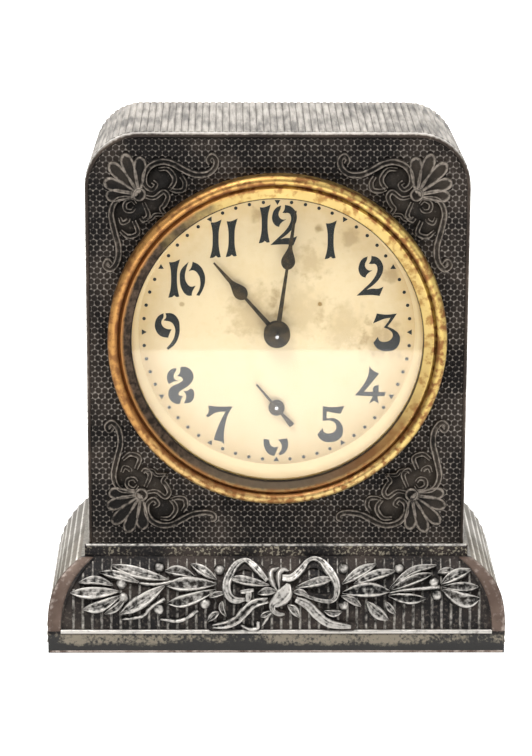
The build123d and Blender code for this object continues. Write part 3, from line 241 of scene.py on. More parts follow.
def plinth_shades(place):
    x = abs(place.axis("X")) / mm
    y = place.axis("Y") / mm
    z = place.axis("Z") / mm
    grain = place.noise(1.2)
    speckle = place.noise(1.0, 3.0)
    patches = place.noise(17.0, 4.0)
    band = z.between(ledge_z, ledge_z + 0.4) * (1.0 - y.between(face_y, face_y + 1.0))
    foot = 1.0 - z.between(foot_top - 2.2, foot_top - 1.2)
    ground = patches.between(0.40, 0.66).mix((0.010, 0.009, 0.009), (0.040, 0.031, 0.026))
    ground = (speckle.between(0.52, 0.68) * 0.5).mix(ground, (0.105, 0.088, 0.073))
    flecks = band * patches.between(0.42, 0.52) * speckle.between(0.52, 0.62)
    ground = (flecks * 0.8).mix(ground, (0.26, 0.23, 0.17))
    upper = (z + (speckle - 0.5) * 3.0 + (patches - 0.5) * 6.0).between(3.0, 4.8)
    bare = upper * (patches + (speckle - 0.5) * 0.9).between(0.34, 0.62)
    rubbed_foot = bare.mix((0.030, 0.029, 0.028), (0.20, 0.175, 0.135))
    # Painted sheen: the sides are painted pale, for the light that grazes them.
    beside = (x - body_half + y - face_y).between(0.3, 0.9) * x.between(body_half - 0.5, body_half)
    beside = beside * (1.0 - y.between(back_y - 0.6, back_y - 0.2))
    side_sheen = grain.between(0.35, 0.65).mix((0.17, 0.155, 0.132), (0.27, 0.25, 0.215))
    return {
        "Base Color": beside.mix(foot.mix(ground, rubbed_foot), side_sheen),
        "Roughness": 0.55 + (grain - 0.5) * 0.3,
        "Metallic": 0.3 + foot * bare * 0.4,
        "Normal": (grain * 0.6 + speckle * 0.4).bump(0.3),
    }


plinth_metal = finish("plinth_metal", {"Specular IOR Level": 0.15}, plinth_shades)


def dress(material, *names):
    """Gives CAD nodes their finish."""
    for name in names:
        for place in frame["nodes"][name].material_slots:
            place.material = material


dress(plinth_metal, "case_base")

# Panel ribs: upright round ribs on the sunk panel in front of the plinth, cast with it. Their ridges are
# rubbed to bare metal, and the hollows between them are still black.
flare_radius = 29.06
flare_reach = 14.2
flare_length = 26.5
panel_border = 4.7
panel_floor = -0.8


def cast_finish(name, hollow, dusty, ridge, worn_from, broken, drawn=(1.0, 1.0, 1.0)):
    """Blackened casting: colours of its hollows, its dusty patches and its rubbed ridges, how proud a spot
    is where its wear starts, how broken the wear is, and how far the grain is drawn out."""

    def shades(place):
        relief = place.node("ShaderNodeAttribute", {"attribute_name": "relief"}, out="Fac")
        grained = place.node("ShaderNodeVectorMath", {"operation": "MULTIPLY"}, {0: place, 1: drawn})
        grain = grained.noise(1.5, 4.0)
        speckle = place.noise(0.5, 2.0)
        patches = place.noise(16.0, 4.0)
        worn = (relief + (grain - 0.5) * broken + (patches - 0.5) * 0.6).between(worn_from, 1.05)
        ground = patches.between(0.40, 0.66).mix(hollow, dusty)
        ground = (speckle.between(0.60, 0.74) * 0.25).mix(ground, (0.10, 0.09, 0.078))
        return {
            "Base Color": worn.mix(ground, ridge),
            "Roughness": 0.64 - worn * 0.24 + (grain - 0.5) * 0.3,
            "Metallic": 0.3 + worn * 0.55,
            "Normal": (grain * 0.7 + speckle * 0.3).bump(0.25),
        }

    return finish(name, {"Specular IOR Level": 0.1}, shades)


def flare_out(run):
    """How far the plinth reaches out beyond the body, at a distance up its curve from its foot."""
    return flare_reach - flare_radius * (1.0 - cos(max(run, 0.0) / flare_radius))


def flare_run(reach):
    """How far up its curve the flare still reaches out beyond the body by a distance."""
    return flare_radius * acos(min(1.0, 1.0 - (flare_reach - reach) / flare_radius))


def on_flare(x, run, height):
    """Point on the plinth's front: across, up along the curve from its foot, and proud of it."""
    turn = max(run, 0.0) / flare_radius
    out = flare_out(run) + height * cos(turn)
    return (x, face_y - out, foot_top + (flare_radius + height) * sin(turn) + min(run, 0.0))


def pattern(title, sizes, lay):
    """Geometry Nodes tree with named inputs, whose lay(inputs) returns the shapes before they are painted."""
    tree = bpy.data.node_groups.new(title, "GeometryNodeTree")
    tree.interface.new_socket("Host", in_out="INPUT", socket_type="NodeSocketGeometry")
    for label, kind in sizes.items():
        tree.interface.new_socket(label, in_out="INPUT", socket_type="NodeSocket" + kind)
    tree.interface.new_socket("Paint", in_out="INPUT", socket_type="NodeSocketMaterial")
    tree.interface.new_socket("Laid", in_out="OUTPUT", socket_type="NodeSocketGeometry")
    entry = tree.nodes.new("NodeGroupInput")
    inputs = {socket.name: Wire(tree, socket) for socket in entry.outputs if socket.name}
    laid = lay(inputs)
    whole = laid.node("GeometryNodeRealizeInstances", {}, {"Geometry": laid})
    painted = laid.node("GeometryNodeSetMaterial", {}, {"Geometry": whole, "Material": inputs["Paint"]})
    tree.links.new(painted.socket, tree.nodes.new("NodeGroupOutput").inputs[0])
    return tree


def plain_mesh(carrier):
    """Mesh that an object's modifiers or its curve make; the object itself is taken away."""
    graph = bpy.context.evaluated_depsgraph_get()
    made = bpy.data.meshes.new_from_object(carrier.evaluated_get(graph))
    carrier.modifiers.clear()
    bpy.data.objects.remove(carrier)
    return made


def laid_mesh(host, tree, values):
    """Plain mesh that a tree makes on a host mesh."""
    carrier = add_object("carrier", host)
    modifier = carrier.modifiers.new("pattern", "NODES")
    modifier.node_group = tree
    for item in tree.interface.items_tree:
        if item.name in values:
            modifier[item.identifier] = values[item.name]
    return plain_mesh(carrier)


def seat(name, mesh, body, smooth=True):
    """Object with a mesh, on a body."""
    mesh.name = name
    if smooth:
        mesh.polygons.foreach_set("use_smooth", [True] * len(mesh.polygons))
    made = add_object(name, mesh)
    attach(made, body)


def host_mesh(title, lines):
    """Mesh of lines through points in millimetres; a line of one point is a loose point."""
    mesh = bpy.data.meshes.new(title)
    points = []
    edges = []
    for line in lines:
        edges += [(len(points) + step, len(points) + step + 1) for step in range(len(line) - 1)]
        points += [Vector(p) * mm for p in line]
    mesh.from_pydata(points, edges, [])
    return mesh


def rubbed(shape, wear):
    """Shape whose points carry how far they are rubbed, for the casting's finish."""
    settings = {"data_type": "FLOAT", "domain": "POINT"}
    values = {"Geometry": shape, "Name": "relief", "Value": wear}
    return shape.node("GeometryNodeStoreNamedAttribute", settings, values)


def lay_rods(inputs):
    """Round rods along every line of the host, with flat ends."""
    line = inputs["Host"].node("GeometryNodeMeshToCurve", {}, {"Mesh": inputs["Host"]})
    ring_size = {"Resolution": 10, "Radius": inputs["Rod Radius"]}
    ring = line.node("GeometryNodeCurvePrimitiveCircle", {}, ring_size)
    sweep = {"Curve": line, "Profile Curve": ring, "Fill Caps": True}
    return rubbed(line.node("GeometryNodeCurveToMesh", {}, sweep), inputs["Worn"])


rod_tree = pattern("rods", {"Rod Radius": "Float", "Worn": "Float"}, lay_rods)


def rods(name, lines, radius, worn, paint):
    """Piece of round rods of one radius on the case."""
    values = {"Rod Radius": radius * mm, "Worn": worn, "Paint": paint}
    seat(name, laid_mesh(host_mesh(name + "_lines", lines), rod_tree, values), "case")


def even(start, end, steps):
    """Numbers at even steps from a start to an end, with both."""
    return [start + (end - start) * step / steps for step in range(steps + 1)]


rib_metal = cast_finish("rib_metal", (0.010, 0.009, 0.009), (0.030, 0.025, 0.020), (0.37, 0.345, 0.31),
                        worn_from=0.26, broken=1.5)
rib_pitch = 3.3
rib_radius = 0.55
rib_sink = 0.2
rib_low = -0.2
rib_short = 0.3
rib_clear = 0.6
ledge_reach = 2.9
ribs_each_side = 22
panel_lines = []
for index in range(-ribs_each_side, ribs_each_side):
    x = (index + 0.5) * rib_pitch
    reach = max(abs(x) - body_half + panel_border + rib_clear, ledge_reach)
    rib_top = min(flare_length - rib_short, flare_run(reach))
    panel_lines.append([on_flare(x, run, panel_floor - rib_sink) for run in even(rib_low, rib_top, 12)])
rods("panel_ribs", panel_lines, rib_radius, worn=0.62, paint=rib_metal)

# Sill and edges: the bead below the panel, the edge of the band above it and the lower edge of the foot are
# cast with the plinth. Handling has worn the upper two bright, and the foot's edge has rusted brown.
base_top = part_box("case_base")[1].z / mm
band_reach = 1.6
silvered = cast_finish("silvered", (0.005, 0.005, 0.005), (0.018, 0.015, 0.012), (0.48, 0.455, 0.42),
                       worn_from=0.26, broken=1.7)
rust_brown = cast_finish("rust_brown", (0.085, 0.058, 0.046), (0.165, 0.120, 0.096), (0.33, 0.28, 0.245),
                         worn_from=0.34, broken=1.5)

sill_radius = 0.8
sill_drop = 0.7
sill_sink = 0.3
sill_over = 0.25
sill_half = body_half + flare_reach - panel_border + sill_over
sill_line = [on_flare(x, -sill_drop, -sill_sink) for x in even(-sill_half, sill_half, 30)]
rods("sill_bead", [sill_line], sill_radius, worn=1.05, paint=silvered)

band_radius = 0.48
band_short = 0.45
band_sink = 0.25
band_drop = 0.2
band_half = body_half + band_reach - band_short
band_front = face_y - band_reach + band_sink
band_line = [(x, band_front, base_top - band_drop) for x in even(-band_half, band_half, 30)]
rods("worn_edges", [band_line], band_radius, worn=0.74, paint=silvered)

foot_radius = 0.45
foot_short = 0.55
foot_sink = 0.2
foot_rise = 0.5
foot_half = body_half + flare_reach - foot_short
foot_front = face_y - flare_reach + foot_sink
foot_line = [(x, foot_front, foot_rise) for x in even(-foot_half, foot_half, 30)]
rods("foot_edge", [foot_line], foot_radius, worn=0.7, paint=rust_brown)

# Panel borders: the raised strips that close the panel on its left and right, cast with the plinth. They
# bulge outwards half-way up, and have rusted brown.


def smoothed(points, steps):
    """Even curve through points, with a number of steps between each two."""
    ends = [2 * points[0] - points[1], *points, 2 * points[-1] - points[-2]]
    path = []
    for a, b, c, d in zip(ends, ends[1:], ends[2:], ends[3:]):
        for t in even(0.0, 1.0, steps)[:-1]:
            bend = 2 * b + (c - a) * t + (2 * a - 5 * b + 4 * c - d) * t**2
            path.append((bend + (3 * b - a - 3 * c + d) * t**3) / 2)
    return path + [points[-1]]


class Casting:
    """Closed raised shapes of one piece, in millimetres, with how much each point is rubbed."""

    def __init__(self):
        self.points = []
        self.faces = []
        self.relief = []

    def loft(self, rings, relief):
        """Skin over rings of equal count, closed at both ends; each ring has its list of wear."""
        start = len(self.points)
        count = len(rings[0])
        for ring, wear in zip(rings, relief):
            self.points += ring
            self.relief += wear
        for row in range(len(rings) - 1):
            for side in range(count):
                here = start + row * count + side
                beside = start + row * count + (side + 1) % count
                self.faces.append((here, beside, beside + count, here + count))
        self.faces.append([start + side for side in range(count)])
        last = start + (len(rings) - 1) * count
        self.faces.append([last + side for side in range(count)])

    def stroke(self, place, points, widths, crest, profile, worn=1.0, sharp=1, steps=6):
        """Moulded line through points, of given widths and profile; place() sets it on its ground."""
        path = smoothed([Vector(p) for p in points], steps)
        wide = smoothed([Vector((w, 0.0)) for w in widths], 8)
        rings = []
        for index, point in enumerate(path):
            ahead = path[min(index + 1, len(path) - 1)] - path[max(index - 1, 0)]
            side = Vector((-ahead.y, ahead.x)).normalized()
            share = index / (len(path) - 1) * (len(wide) - 1)
            low = min(int(share), len(wide) - 2)
            half = (wide[low] + (wide[low + 1] - wide[low]) * (share - low)).x / 2
            rise = crest * (0.75 + 0.25 * min(1.0, 2 * half / max(widths)))
            ring = []
            for across, height in profile:
                spot = point + side * (across * half)
                ring.append(place(spot.x, spot.y, height * rise))
            rings.append(ring)
        self.loft(rings, [[max(height, 0.0) ** sharp * worn for across, height in profile]] * len(rings))

    def shell(self, place, rings, relief):
        """Plate or dome from flat rings of (across, up) points at heights; each ring is rubbed evenly."""
        skins = [[place(x, y, height) for x, y in ring] for ring, height in rings]
        self.loft(skins, [[wear] * len(skins[0]) for wear in relief])

    def piece(self, name, material, body):
        """The gathered shapes as one object on a body."""
        mesh = bpy.data.meshes.new(name)
        mesh.from_pydata([Vector(p) * mm for p in self.points], [], self.faces)
        mesh.attributes.new("relief", "FLOAT", "POINT").data.foreach_set("value", self.relief)
        shape = bmesh.new()
        shape.from_mesh(mesh)
        bmesh.ops.recalc_face_normals(shape, faces=shape.faces)
        shape.to_mesh(mesh)
        shape.free()
        mesh.materials.append(material)
        seat(name, mesh, body)


border = Casting()
border_width = 4.6
border_section = [(0.12, -2.2), (0.12, 0.05), (-0.5, 0.3), (-2.4, 0.38), (-3.9, 0.3), (-4.45, 0.05)]
border_section += [(-border_width, -0.9)]
border_wear = [0.0, 0.5, 0.6, 0.2, 0.4, 0.3, 0.0]
border_low = -0.4
border_swell = 1.6
swell_lift = 1.6
for side in (-1, 1):
    border_rings = []
    for run in even(border_low, flare_length, 24):
        edge = body_half + flare_out(run)
        swell = border_swell * sin(pi * (max(run, 0.0) / flare_length) ** swell_lift)
        ring = []
        for across, height in border_section:
            out = edge + across + swell * (1.0 + across / (2 * border_width))
            ring.append(on_flare(side * out, run, height))
        border_rings.append(ring)
    border.loft(border_rings, [border_wear] * len(border_rings))
border.piece("panel_borders", rust_brown, "case")

# Plinth sides: rows of flutes that run from front to back and follow the flare, cast with the plinth. Their
# ridges are rubbed silver, and flutes and hollows alike are painted pale, a painted sheen of the light that
# grazes the sides.
# Painted sheen: pale all over, besides the rubbed ridges, for the light that grazes the sides.
side_silver = cast_finish("side_silver", (0.165, 0.149, 0.124), (0.25, 0.226, 0.192), (0.70, 0.665, 0.60),
                          worn_from=0.30, broken=0.6)
flute_pitch = 3.3
flute_rise = 0.42
flute_skin = 0.08
flute_sink = 0.8
flute_low = -4.9
flute_front = 1.0
flute_back = back_y - 0.3
flute_wear = 0.95
first_ridge = 24.8
for side, title in ((-1, "left"), (1, "right")):
    flutes = Casting()
    flute_rings = []
    flute_relief = []
    for run in even(flute_low, flare_length - 0.05, 80):
        wave = abs(2.0 * ((first_ridge - run) / flute_pitch % 1.0) - 1.0) ** 2
        crest = flute_skin + flute_rise * wave
        front = face_y - flare_out(run) + flute_front
        corners = ((crest, front), (crest, flute_back), (-flute_sink, flute_back), (-flute_sink, front))
        ring = []
        for height, y in corners:
            spot = on_flare(0.0, run, height)
            ring.append((side * (body_half + face_y - spot[1]), y, spot[2]))
        flute_rings.append(ring)
        flute_relief.append([flute_wear * wave, flute_wear * wave, 0.0, 0.0])
    flutes.loft(flute_rings, flute_relief)
    flutes.piece(title + "_plinth_ribs", side_silver, "case")

# Garland: leaves, twigs and a bow with two loops and two tails, cast in relief over the panel. What stands
# proud is rubbed silver, and what lies deep is still black.
channel = [(-1.0, -0.8), (-1.0, 0.3), (-0.85, 0.85), (-0.65, 1.0), (-0.42, 0.75), (0.0, 0.42)]
channel += [(0.42, 0.75), (0.65, 1.0), (0.85, 0.85), (1.0, 0.3), (1.0, -0.8)]
rounded = [(-1.0, -0.8), (-1.0, 0.3), (-0.75, 0.62), (-0.4, 0.86), (0.0, 1.0)]
rounded += [(0.4, 0.86), (0.75, 0.62), (1.0, 0.3), (1.0, -0.8)]
veined = [(-1.0, -0.8), (-1.0, 0.3), (-0.86, 0.82), (-0.7, 1.0), (-0.48, 0.74), (-0.2, 0.55), (0.0, 0.72)]
veined += [(0.2, 0.55), (0.48, 0.74), (0.7, 1.0), (0.86, 0.82), (1.0, 0.3), (1.0, -0.8)]
hollowed = [(-1.0, -0.8), (-1.0, 0.3), (-0.88, 0.85), (-0.72, 1.0), (-0.56, 0.7), (-0.35, 0.5), (0.0, 0.48)]
hollowed += [(0.35, 0.5), (0.56, 0.7), (0.72, 1.0), (0.88, 0.85), (1.0, 0.3), (1.0, -0.8)]
folded = [(-1.0, -0.8), (-1.0, 0.35), (-0.85, 0.8), (-0.6, 0.95), (-0.35, 0.72), (0.0, 0.85), (0.3, 0.62)]
folded += [(0.6, 0.95), (0.85, 0.8), (1.0, 0.35), (1.0, -0.8)]
leaf_widths = (0.12, 0.72, 1.0, 0.95, 0.68, 0.1)
stem_widths = (0.7, 1.4, 1.4, 1.6)
tail_widths = (2.2, 3.3, 3.5, 3.2, 2.8, 1.4)
leaf_crest = 2.4
stem_crest = 1.3
ribbon_crest = 2.1
strand_crest = 2.6
knot_crest = 2.8
knot_spots = [(3.3, 13.5), (-2.0, 13.5)]
knot_steps = ((2.9, -0.8), (2.7, 0.7))
knot_wear = (0.0, 0.1)
edge_wear = 1.3

garland = Casting()


def leaf(wide, *points, profile=veined):
    """Leaf of the garland from its tip to its base, with turned-up edges."""
    widths = [wide * share for share in leaf_widths]
    garland.stroke(on_flare, points, widths, leaf_crest, profile, sharp=edge_wear)


def ribbon(widths, *points, profile=folded, crest=ribbon_crest):
    """Loop, tail or strand of the bow."""
    garland.stroke(on_flare, points, widths, crest, profile, sharp=edge_wear)


def stem(*points):
    """Thin twig between the leaves."""
    garland.stroke(on_flare, points, stem_widths, stem_crest, rounded)


def circle(across, up, radius, sides=18):
    """Points of a circle."""
    turns = [2 * pi * side / sides for side in range(sides)]
    return [(across + radius * cos(turn), up + radius * sin(turn)) for turn in turns]


leaf(4.4, (-57.5, 22.5), (-49, 20), (-38, 17.5))
leaf(3.2, (-62, 20), (-55.5, 19), (-48, 16.5))
leaf(3.2, (-69, 16.5), (-63, 17.3), (-57, 15.5))
leaf(4.4, (-72, 13), (-64, 13), (-55, 13.5))
leaf(4.2, (-67.5, 7.5), (-61.5, 8.5), (-54.5, 12))
leaf(2.6, (-60, 6), (-56, 8), (-52.5, 11.5))
leaf(5.0, (-54.5, 6), (-47.5, 10), (-39, 15.5))
leaf(3.8, (-39, 20.5), (-34, 20.5), (-28.5, 18.5), profile=hollowed)
leaf(3.6, (-30, 23), (-25.5, 20.5), (-21, 17.5))
leaf(5.2, (-38.5, 15.5), (-31, 16), (-21, 16), profile=hollowed)
leaf(4.4, (-38, 9.5), (-31.5, 10.5), (-21, 14), profile=hollowed)
leaf(3.5, (-16.5, 18), (-10.7, 17.1), (-2.5, 15.5))
leaf(3.2, (-6.6, 12.7), (-3.3, 13.5), (0, 13.4))
leaf(2.2, (-23.5, 11.5), (-21, 12.5), (-18, 13))
leaf(2.8, (-24, 3.5), (-22, 5.5), (-20, 6.5))
leaf(2.2, (-19, 10.3), (-19.2, 7.8), (-17.6, 5.1))
leaf(2.2, (-5.6, 5), (-4, 5.8), (-1.8, 6.8))
leaf(3.2, (3.8, 8.9), (6.2, 7.2), (7.8, 4.8))
leaf(2.6, (16.6, 6.9), (20, 6.1), (22.8, 6.8))
leaf(2.6, (5.8, 13.3), (8.3, 13.2), (10.8, 12.4))
leaf(3.4, (19.6, 17.9), (14.5, 16.8), (6.7, 14.8))
leaf(4.0, (35, 23), (29, 20), (23, 16))
leaf(3.8, (41.5, 20.5), (34.5, 19), (27, 16))
leaf(2.8, (56, 22.5), (47.5, 20.5), (39.5, 14.5))
leaf(3.4, (54.5, 19.5), (48, 17.5), (40, 14), profile=hollowed)
leaf(5.2, (39.5, 13.5), (31.5, 14), (23, 13), profile=hollowed)
leaf(3.8, (52, 11), (46, 11), (39, 12), profile=hollowed)
leaf(4.2, (68, 21), (62.5, 19), (57.5, 16))
leaf(3.4, (70.5, 15), (65, 15), (58, 15), profile=hollowed)
leaf(5.2, (71, 11), (65.5, 10.5), (58, 14), profile=hollowed)
leaf(4.2, (39, 4), (35, 6.5), (31.5, 10))
leaf(2.8, (29.5, 8.5), (26.5, 10.5), (22.5, 12))
leaf(2.4, (62, 21), (59, 20.5), (56.5, 20))
leaf(2.6, (41.5, 6), (39.5, 8), (38, 10))
stem((-54, 4), (-47, 5), (-44, 8), (-39, 11))
stem((-40.5, 4), (-33.5, 3.5), (-27.5, 7))
stem((-12.4, 2), (-9.4, 0.5), (-6.7, 0.8), (-6.4, 3.1))
stem((-5, 1.8), (-3.3, 4.5), (-2, 6.4))
stem((-48, 16.5), (-42, 16), (-34, 17.5))
stem((39.5, 13), (45, 14), (57, 15))
left_loop = [(-3.3, 17.1), (-6.7, 21.2), (-9.3, 23.7), (-11.3, 24.6), (-14, 23), (-16, 19.9), (-17.5, 15.8)]
left_loop += [(-16.7, 12.2), (-14.4, 10.5), (-11, 10.8)]
right_loop = [(2, 18.1), (5.4, 18.2), (8.7, 21.2), (10.8, 24.1), (13.2, 25.2), (15.8, 24.1), (17.8, 21.6)]
right_loop += [(19.6, 19), (20.9, 16.5), (21.1, 13.5), (20.2, 10.9), (17.7, 10.1), (13.4, 10.9), (9.3, 12.4)]
left_tail = [(-3, 10.5), (-8, 9.3), (-11.7, 6.1), (-14, 3.8), (-17.7, 2.2), (-22.4, 1.7)]
right_tail = [(6.7, 10.8), (10.7, 9), (14, 5.8), (17, 3.4), (20.1, 2.2), (26, 1.5)]
left_strand = [(1, 21.6), (-1.6, 20.6), (-2.1, 18.3), (-1.2, 15.8), (0.2, 13.6)]
right_strand = [(4.2, 20.4), (2.5, 21), (0.9, 19.6), (0.7, 17.1), (1, 14)]
knot_line = [(4.2, 16), (3.4, 13.7), (2.3, 12), (0.3, 10.3), (-1.4, 8.8), (-1.2, 7.1), (0.7, 5.9), (2.8, 5.9)]
ribbon((1.6, 2.7, 2.4, 1.7, 2.6, 3.1, 3.3, 3.1, 2.6, 1.2), *left_loop)
ribbon((2.6, 2.8, 2.6, 1.8, 1.7, 2.4, 3.3, 3.3, 2.8, 2.4, 1.8, 1.5, 1.3, 1.2), *right_loop)
ribbon(tail_widths, *left_tail, profile=channel)
ribbon(tail_widths, *right_tail)
ribbon((1.3, 1.7, 1.2), (-12.6, 13.2), (-10.2, 13.5), (-8, 13.9))
ribbon((2.2, 2.4, 1.4), (-9.7, 13.2), (-9.8, 11.6), (-10.2, 10))
ribbon((0.8, 2.2, 2.5, 2.0, 0.8), *left_strand, profile=rounded, crest=strand_crest)
ribbon((0.8, 2.0, 2.4, 1.8, 0.8), *right_strand, profile=rounded, crest=strand_crest)
ribbon((1.5, 5.0, 6.0, 4.8, 2.8, 1.9, 1.5, 0.7), *knot_line, crest=knot_crest)
for across, up in knot_spots:
    knot_seat = [(circle(across, up, radius), height) for radius, height in knot_steps]
    garland.shell(on_flare, knot_seat, knot_wear)
garland.piece("garland", silvered, "case")

# Berries: round berries between the leaves of the garland, cast with it. They are rubbed silver in front,
# and black where they meet the panel.
berry_radius = 1.95
berry_rise = 0.2
berry_wear = 0.95
berry_spots = [(-41, 22.5), (-20, 21.5), (-54.2, 16.4), (-53.5, 11.5), (-41, 7.5), (-25, 9.5)]
berry_spots += [(23.5, 22), (43, 22), (55, 17), (56, 12.5), (23.5, 9)]


def lay_berries(inputs):
    """Round berries on the points of the host, rubbed where they stand out most."""
    host = inputs["Host"]
    ball = {"Segments": 16, "Rings": 10, "Radius": inputs["Berry Radius"]}
    berry = host.node("GeometryNodeMeshUVSphere", {}, ball)
    y = host.node("GeometryNodeInputPosition").axis("Y")
    berry = rubbed(berry, (0.0 - y / inputs["Berry Radius"]) * inputs["Worn"])
    return host.node("GeometryNodeInstanceOnPoints", {}, {"Points": host, "Instance": berry})


berry_tree = pattern("berries", {"Berry Radius": "Float", "Worn": "Float"}, lay_berries)
berry_host = host_mesh("berry_spots", [[on_flare(x, run, berry_rise)] for x, run in berry_spots])
berry_values = {"Berry Radius": berry_radius * mm, "Worn": berry_wear, "Paint": silvered}
seat("berries", laid_mesh(berry_host, berry_tree, berry_values), "case")

# Upper case: one iron casting with arched shoulders, open behind and blackened. Its face is covered with
# small round dimples in staggered rows, whose rims are rubbed to brown metal.
case_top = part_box("case_body")[1].z / mm
dial_z = 110.2
corner_radius = 18.5
face_black = cast_finish("face_black", (0.007, 0.006, 0.0055), (0.027, 0.021, 0.017), (0.19, 0.168, 0.146),
                         worn_from=0.18, broken=1.4)
dress(face_black, "case_body")
dimple_pitch = 2.25
dimple_row = dimple_pitch * 0.75**0.5
dimple_rise = 0.5
rim_margin = 1.3
bezel_clear = 56.4


def dimple_mesh():
    """One six-sided cell of the face with a round hollow; its walls are highest where three cells meet."""
    wall = ((0.5, 0.72, 0.42), (0.5774, 1.0, 0.95))
    slope = (0.4, 0.5, 0.12)
    floor = (0.25, 0.08, 0.0)
    sides = 12
    points = []
    relief = []
    for ring in (wall, (slope, slope), (floor, floor)):
        for side in range(sides):
            share, height, wear = ring[side % 2]
            angle = radians(360 / sides * side)
            radius = share * dimple_pitch
            points.append((radius * cos(angle), -height * dimple_rise, radius * sin(angle)))
            relief.append(wear)
    points.append((0.0, 0.0, 0.0))
    relief.append(0.0)
    faces = []
    for row in (0, sides):
        for side in range(sides):
            beside = (side + 1) % sides
            faces.append((row + side, row + beside, row + sides + beside, row + sides + side))
    last = 2 * sides
    faces += [(last + side, last + (side + 1) % sides, 3 * sides) for side in range(sides)]
    mesh = bpy.data.meshes.new("dimple")
    mesh.from_pydata([Vector(p) * mm for p in points], [], faces)
    mesh.attributes.new("relief", "FLOAT", "POINT").data.foreach_set("value", relief)
    return mesh


def lay_dimples(inputs):
    """Staggered rows of cells over the arched face, but not under the bezel."""
    host = inputs["Host"]
    spot = host.node("GeometryNodeInputPosition")
    x = spot.axis("X")
    z = spot.axis("Z")
    row = host.math("ROUND", z / inputs["Row"])
    shift = host.math("PINGPONG", row, 1.0) * inputs["Pitch"] / 2
    moved = host.node("ShaderNodeCombineXYZ", {}, {"X": x + shift, "Y": spot.axis("Y"), "Z": z})
    points = host.node("GeometryNodeSetPosition", {}, {"Geometry": host, "Position": moved})
    wide = host.math("MAXIMUM", abs(x) - (inputs["Half Width"] - inputs["Corner"]), 0.0)
    tall = host.math("MAXIMUM", z - (inputs["Top"] - inputs["Corner"]), 0.0)
    inside = inputs["Corner"] - wide.diagonal(tall)
    clear = x.diagonal(z - inputs["Dial Height"]) - inputs["Bezel"]
    least = host.math("MINIMUM", inside - inputs["Margin"], clear)
    cut = {"Geometry": points, "Selection": host.math("LESS_THAN", least, 0.0)}
    kept = host.node("GeometryNodeDeleteGeometry", {"domain": "POINT"}, cut)
    cell = host.node("GeometryNodeObjectInfo", {}, {"Object": inputs["Cell"]}, "Geometry")
    many = host.node("GeometryNodeInstanceOnPoints", {}, {"Points": kept, "Instance": cell})
    whole = host.node("GeometryNodeRealizeInstances", {}, {"Geometry": many})
    return host.node("GeometryNodeMergeByDistance", {}, {"Geometry": whole, "Distance": 0.02 * mm})


dimple_sizes = {"Pitch": dimple_pitch, "Row": dimple_row, "Half Width": body_half, "Top": case_top}
dimple_sizes |= {"Corner": corner_radius, "Margin": rim_margin, "Dial Height": dial_z, "Bezel": bezel_clear}
dimple_tree = pattern("dimples", {"Cell": "Object"} | dict.fromkeys(dimple_sizes, "Float"), lay_dimples)
cell = add_object("cell", dimple_mesh())
dimple_values = {name: size * mm for name, size in dimple_sizes.items()}
dimple_values |= {"Cell": cell, "Paint": face_black}
first_row = int(base_top / dimple_row) + 1
last_row = int(case_top / dimple_row)
last_column = int(body_half / dimple_pitch) + 1
grid_spots = []
for row in range(first_row, last_row + 1):
    for column in range(-last_column, last_column):
        grid_spots.append([(column * dimple_pitch, face_y, row * dimple_row)])
dimple_host = host_mesh("dimple_spots", grid_spots)
seat("dimpled_face", laid_mesh(dimple_host, dimple_tree, dimple_values), "case")
bpy.data.objects.remove(cell)

# Face rim: the rounded edge all round the face, cast with the case. It is brown in front, and worn bright
# where it turns to the top and the sides.
arch_foot = base_top + 0.2
edge_brown = cast_finish("edge_brown", (0.030, 0.023, 0.019), (0.055, 0.041, 0.032), (0.36, 0.325, 0.285),
                         worn_from=0.42, broken=0.9)


def arch_line(inset, step):
    """Outline of the case in (across, up) from its left foot over the top to its right foot."""
    half = body_half - inset
    top = case_top - inset
    radius = corner_radius - inset
    points = [(-half, arch_foot)]
    for corner, start in (((-half + radius, top - radius), 180), ((half - radius, top - radius), 90)):
        for turn in range(0, 91, step):
            angle = radians(start - turn)
            points.append((corner[0] + radius * cos(angle), corner[1] + radius * sin(angle)))
    points.append((half, arch_foot))
    return points


rim = Casting()
rim_section = [(-1.0, -0.5), (-1.0, 0.15), (-0.75, 0.45), (-0.45, 0.54), (-0.15, 0.45), (0.1, 0.2)]
rim_section += [(0.25, -0.3), (0.25, -2.6), (-0.3, -2.9), (-0.7, -0.8)]
rim_wear = [0.0, 0.1, 0.2, 0.3, 0.5, 0.8, 0.9, 0.9, 0.0, 0.0]
rim_points = [Vector(p) for p in arch_line(0.0, 6)]
rim_rings = []
for index, point in enumerate(rim_points):
    ahead = rim_points[min(index + 1, len(rim_points) - 1)] - rim_points[max(index - 1, 0)]
    if index in (0, len(rim_points) - 1):
        ahead = Vector((0.0, 1.0 if index == 0 else -1.0))
    outward = Vector((-ahead.y, ahead.x)).normalized()
    ring = []
    for out, forward in rim_section:
        spot = point + outward * out
        ring.append((spot.x, face_y - forward, spot.y))
    rim_rings.append(ring)
rim.loft(rim_rings, [rim_wear] * len(rim_rings))
rim.piece("face_rim", edge_brown, "case")

# Case reeding: round reeds over the top and down both sides, cast from front to back with a little draft.
# Their ridges are rubbed pale, and the grooves between them are dark.
reed_silver = cast_finish("reed_silver", (0.060, 0.052, 0.045), (0.110, 0.096, 0.078), (0.30, 0.268, 0.225),
                          worn_from=0.25, broken=1.3, drawn=(1.0, 0.1, 1.0))
reed_pitch = 2.35
reed_radius = 1.7
reed_proud = 0.45
reed_front = face_y + 2.8
reed_length = 61.5
reed_draft = 1.5 / 65.7
reed_wear = 0.66


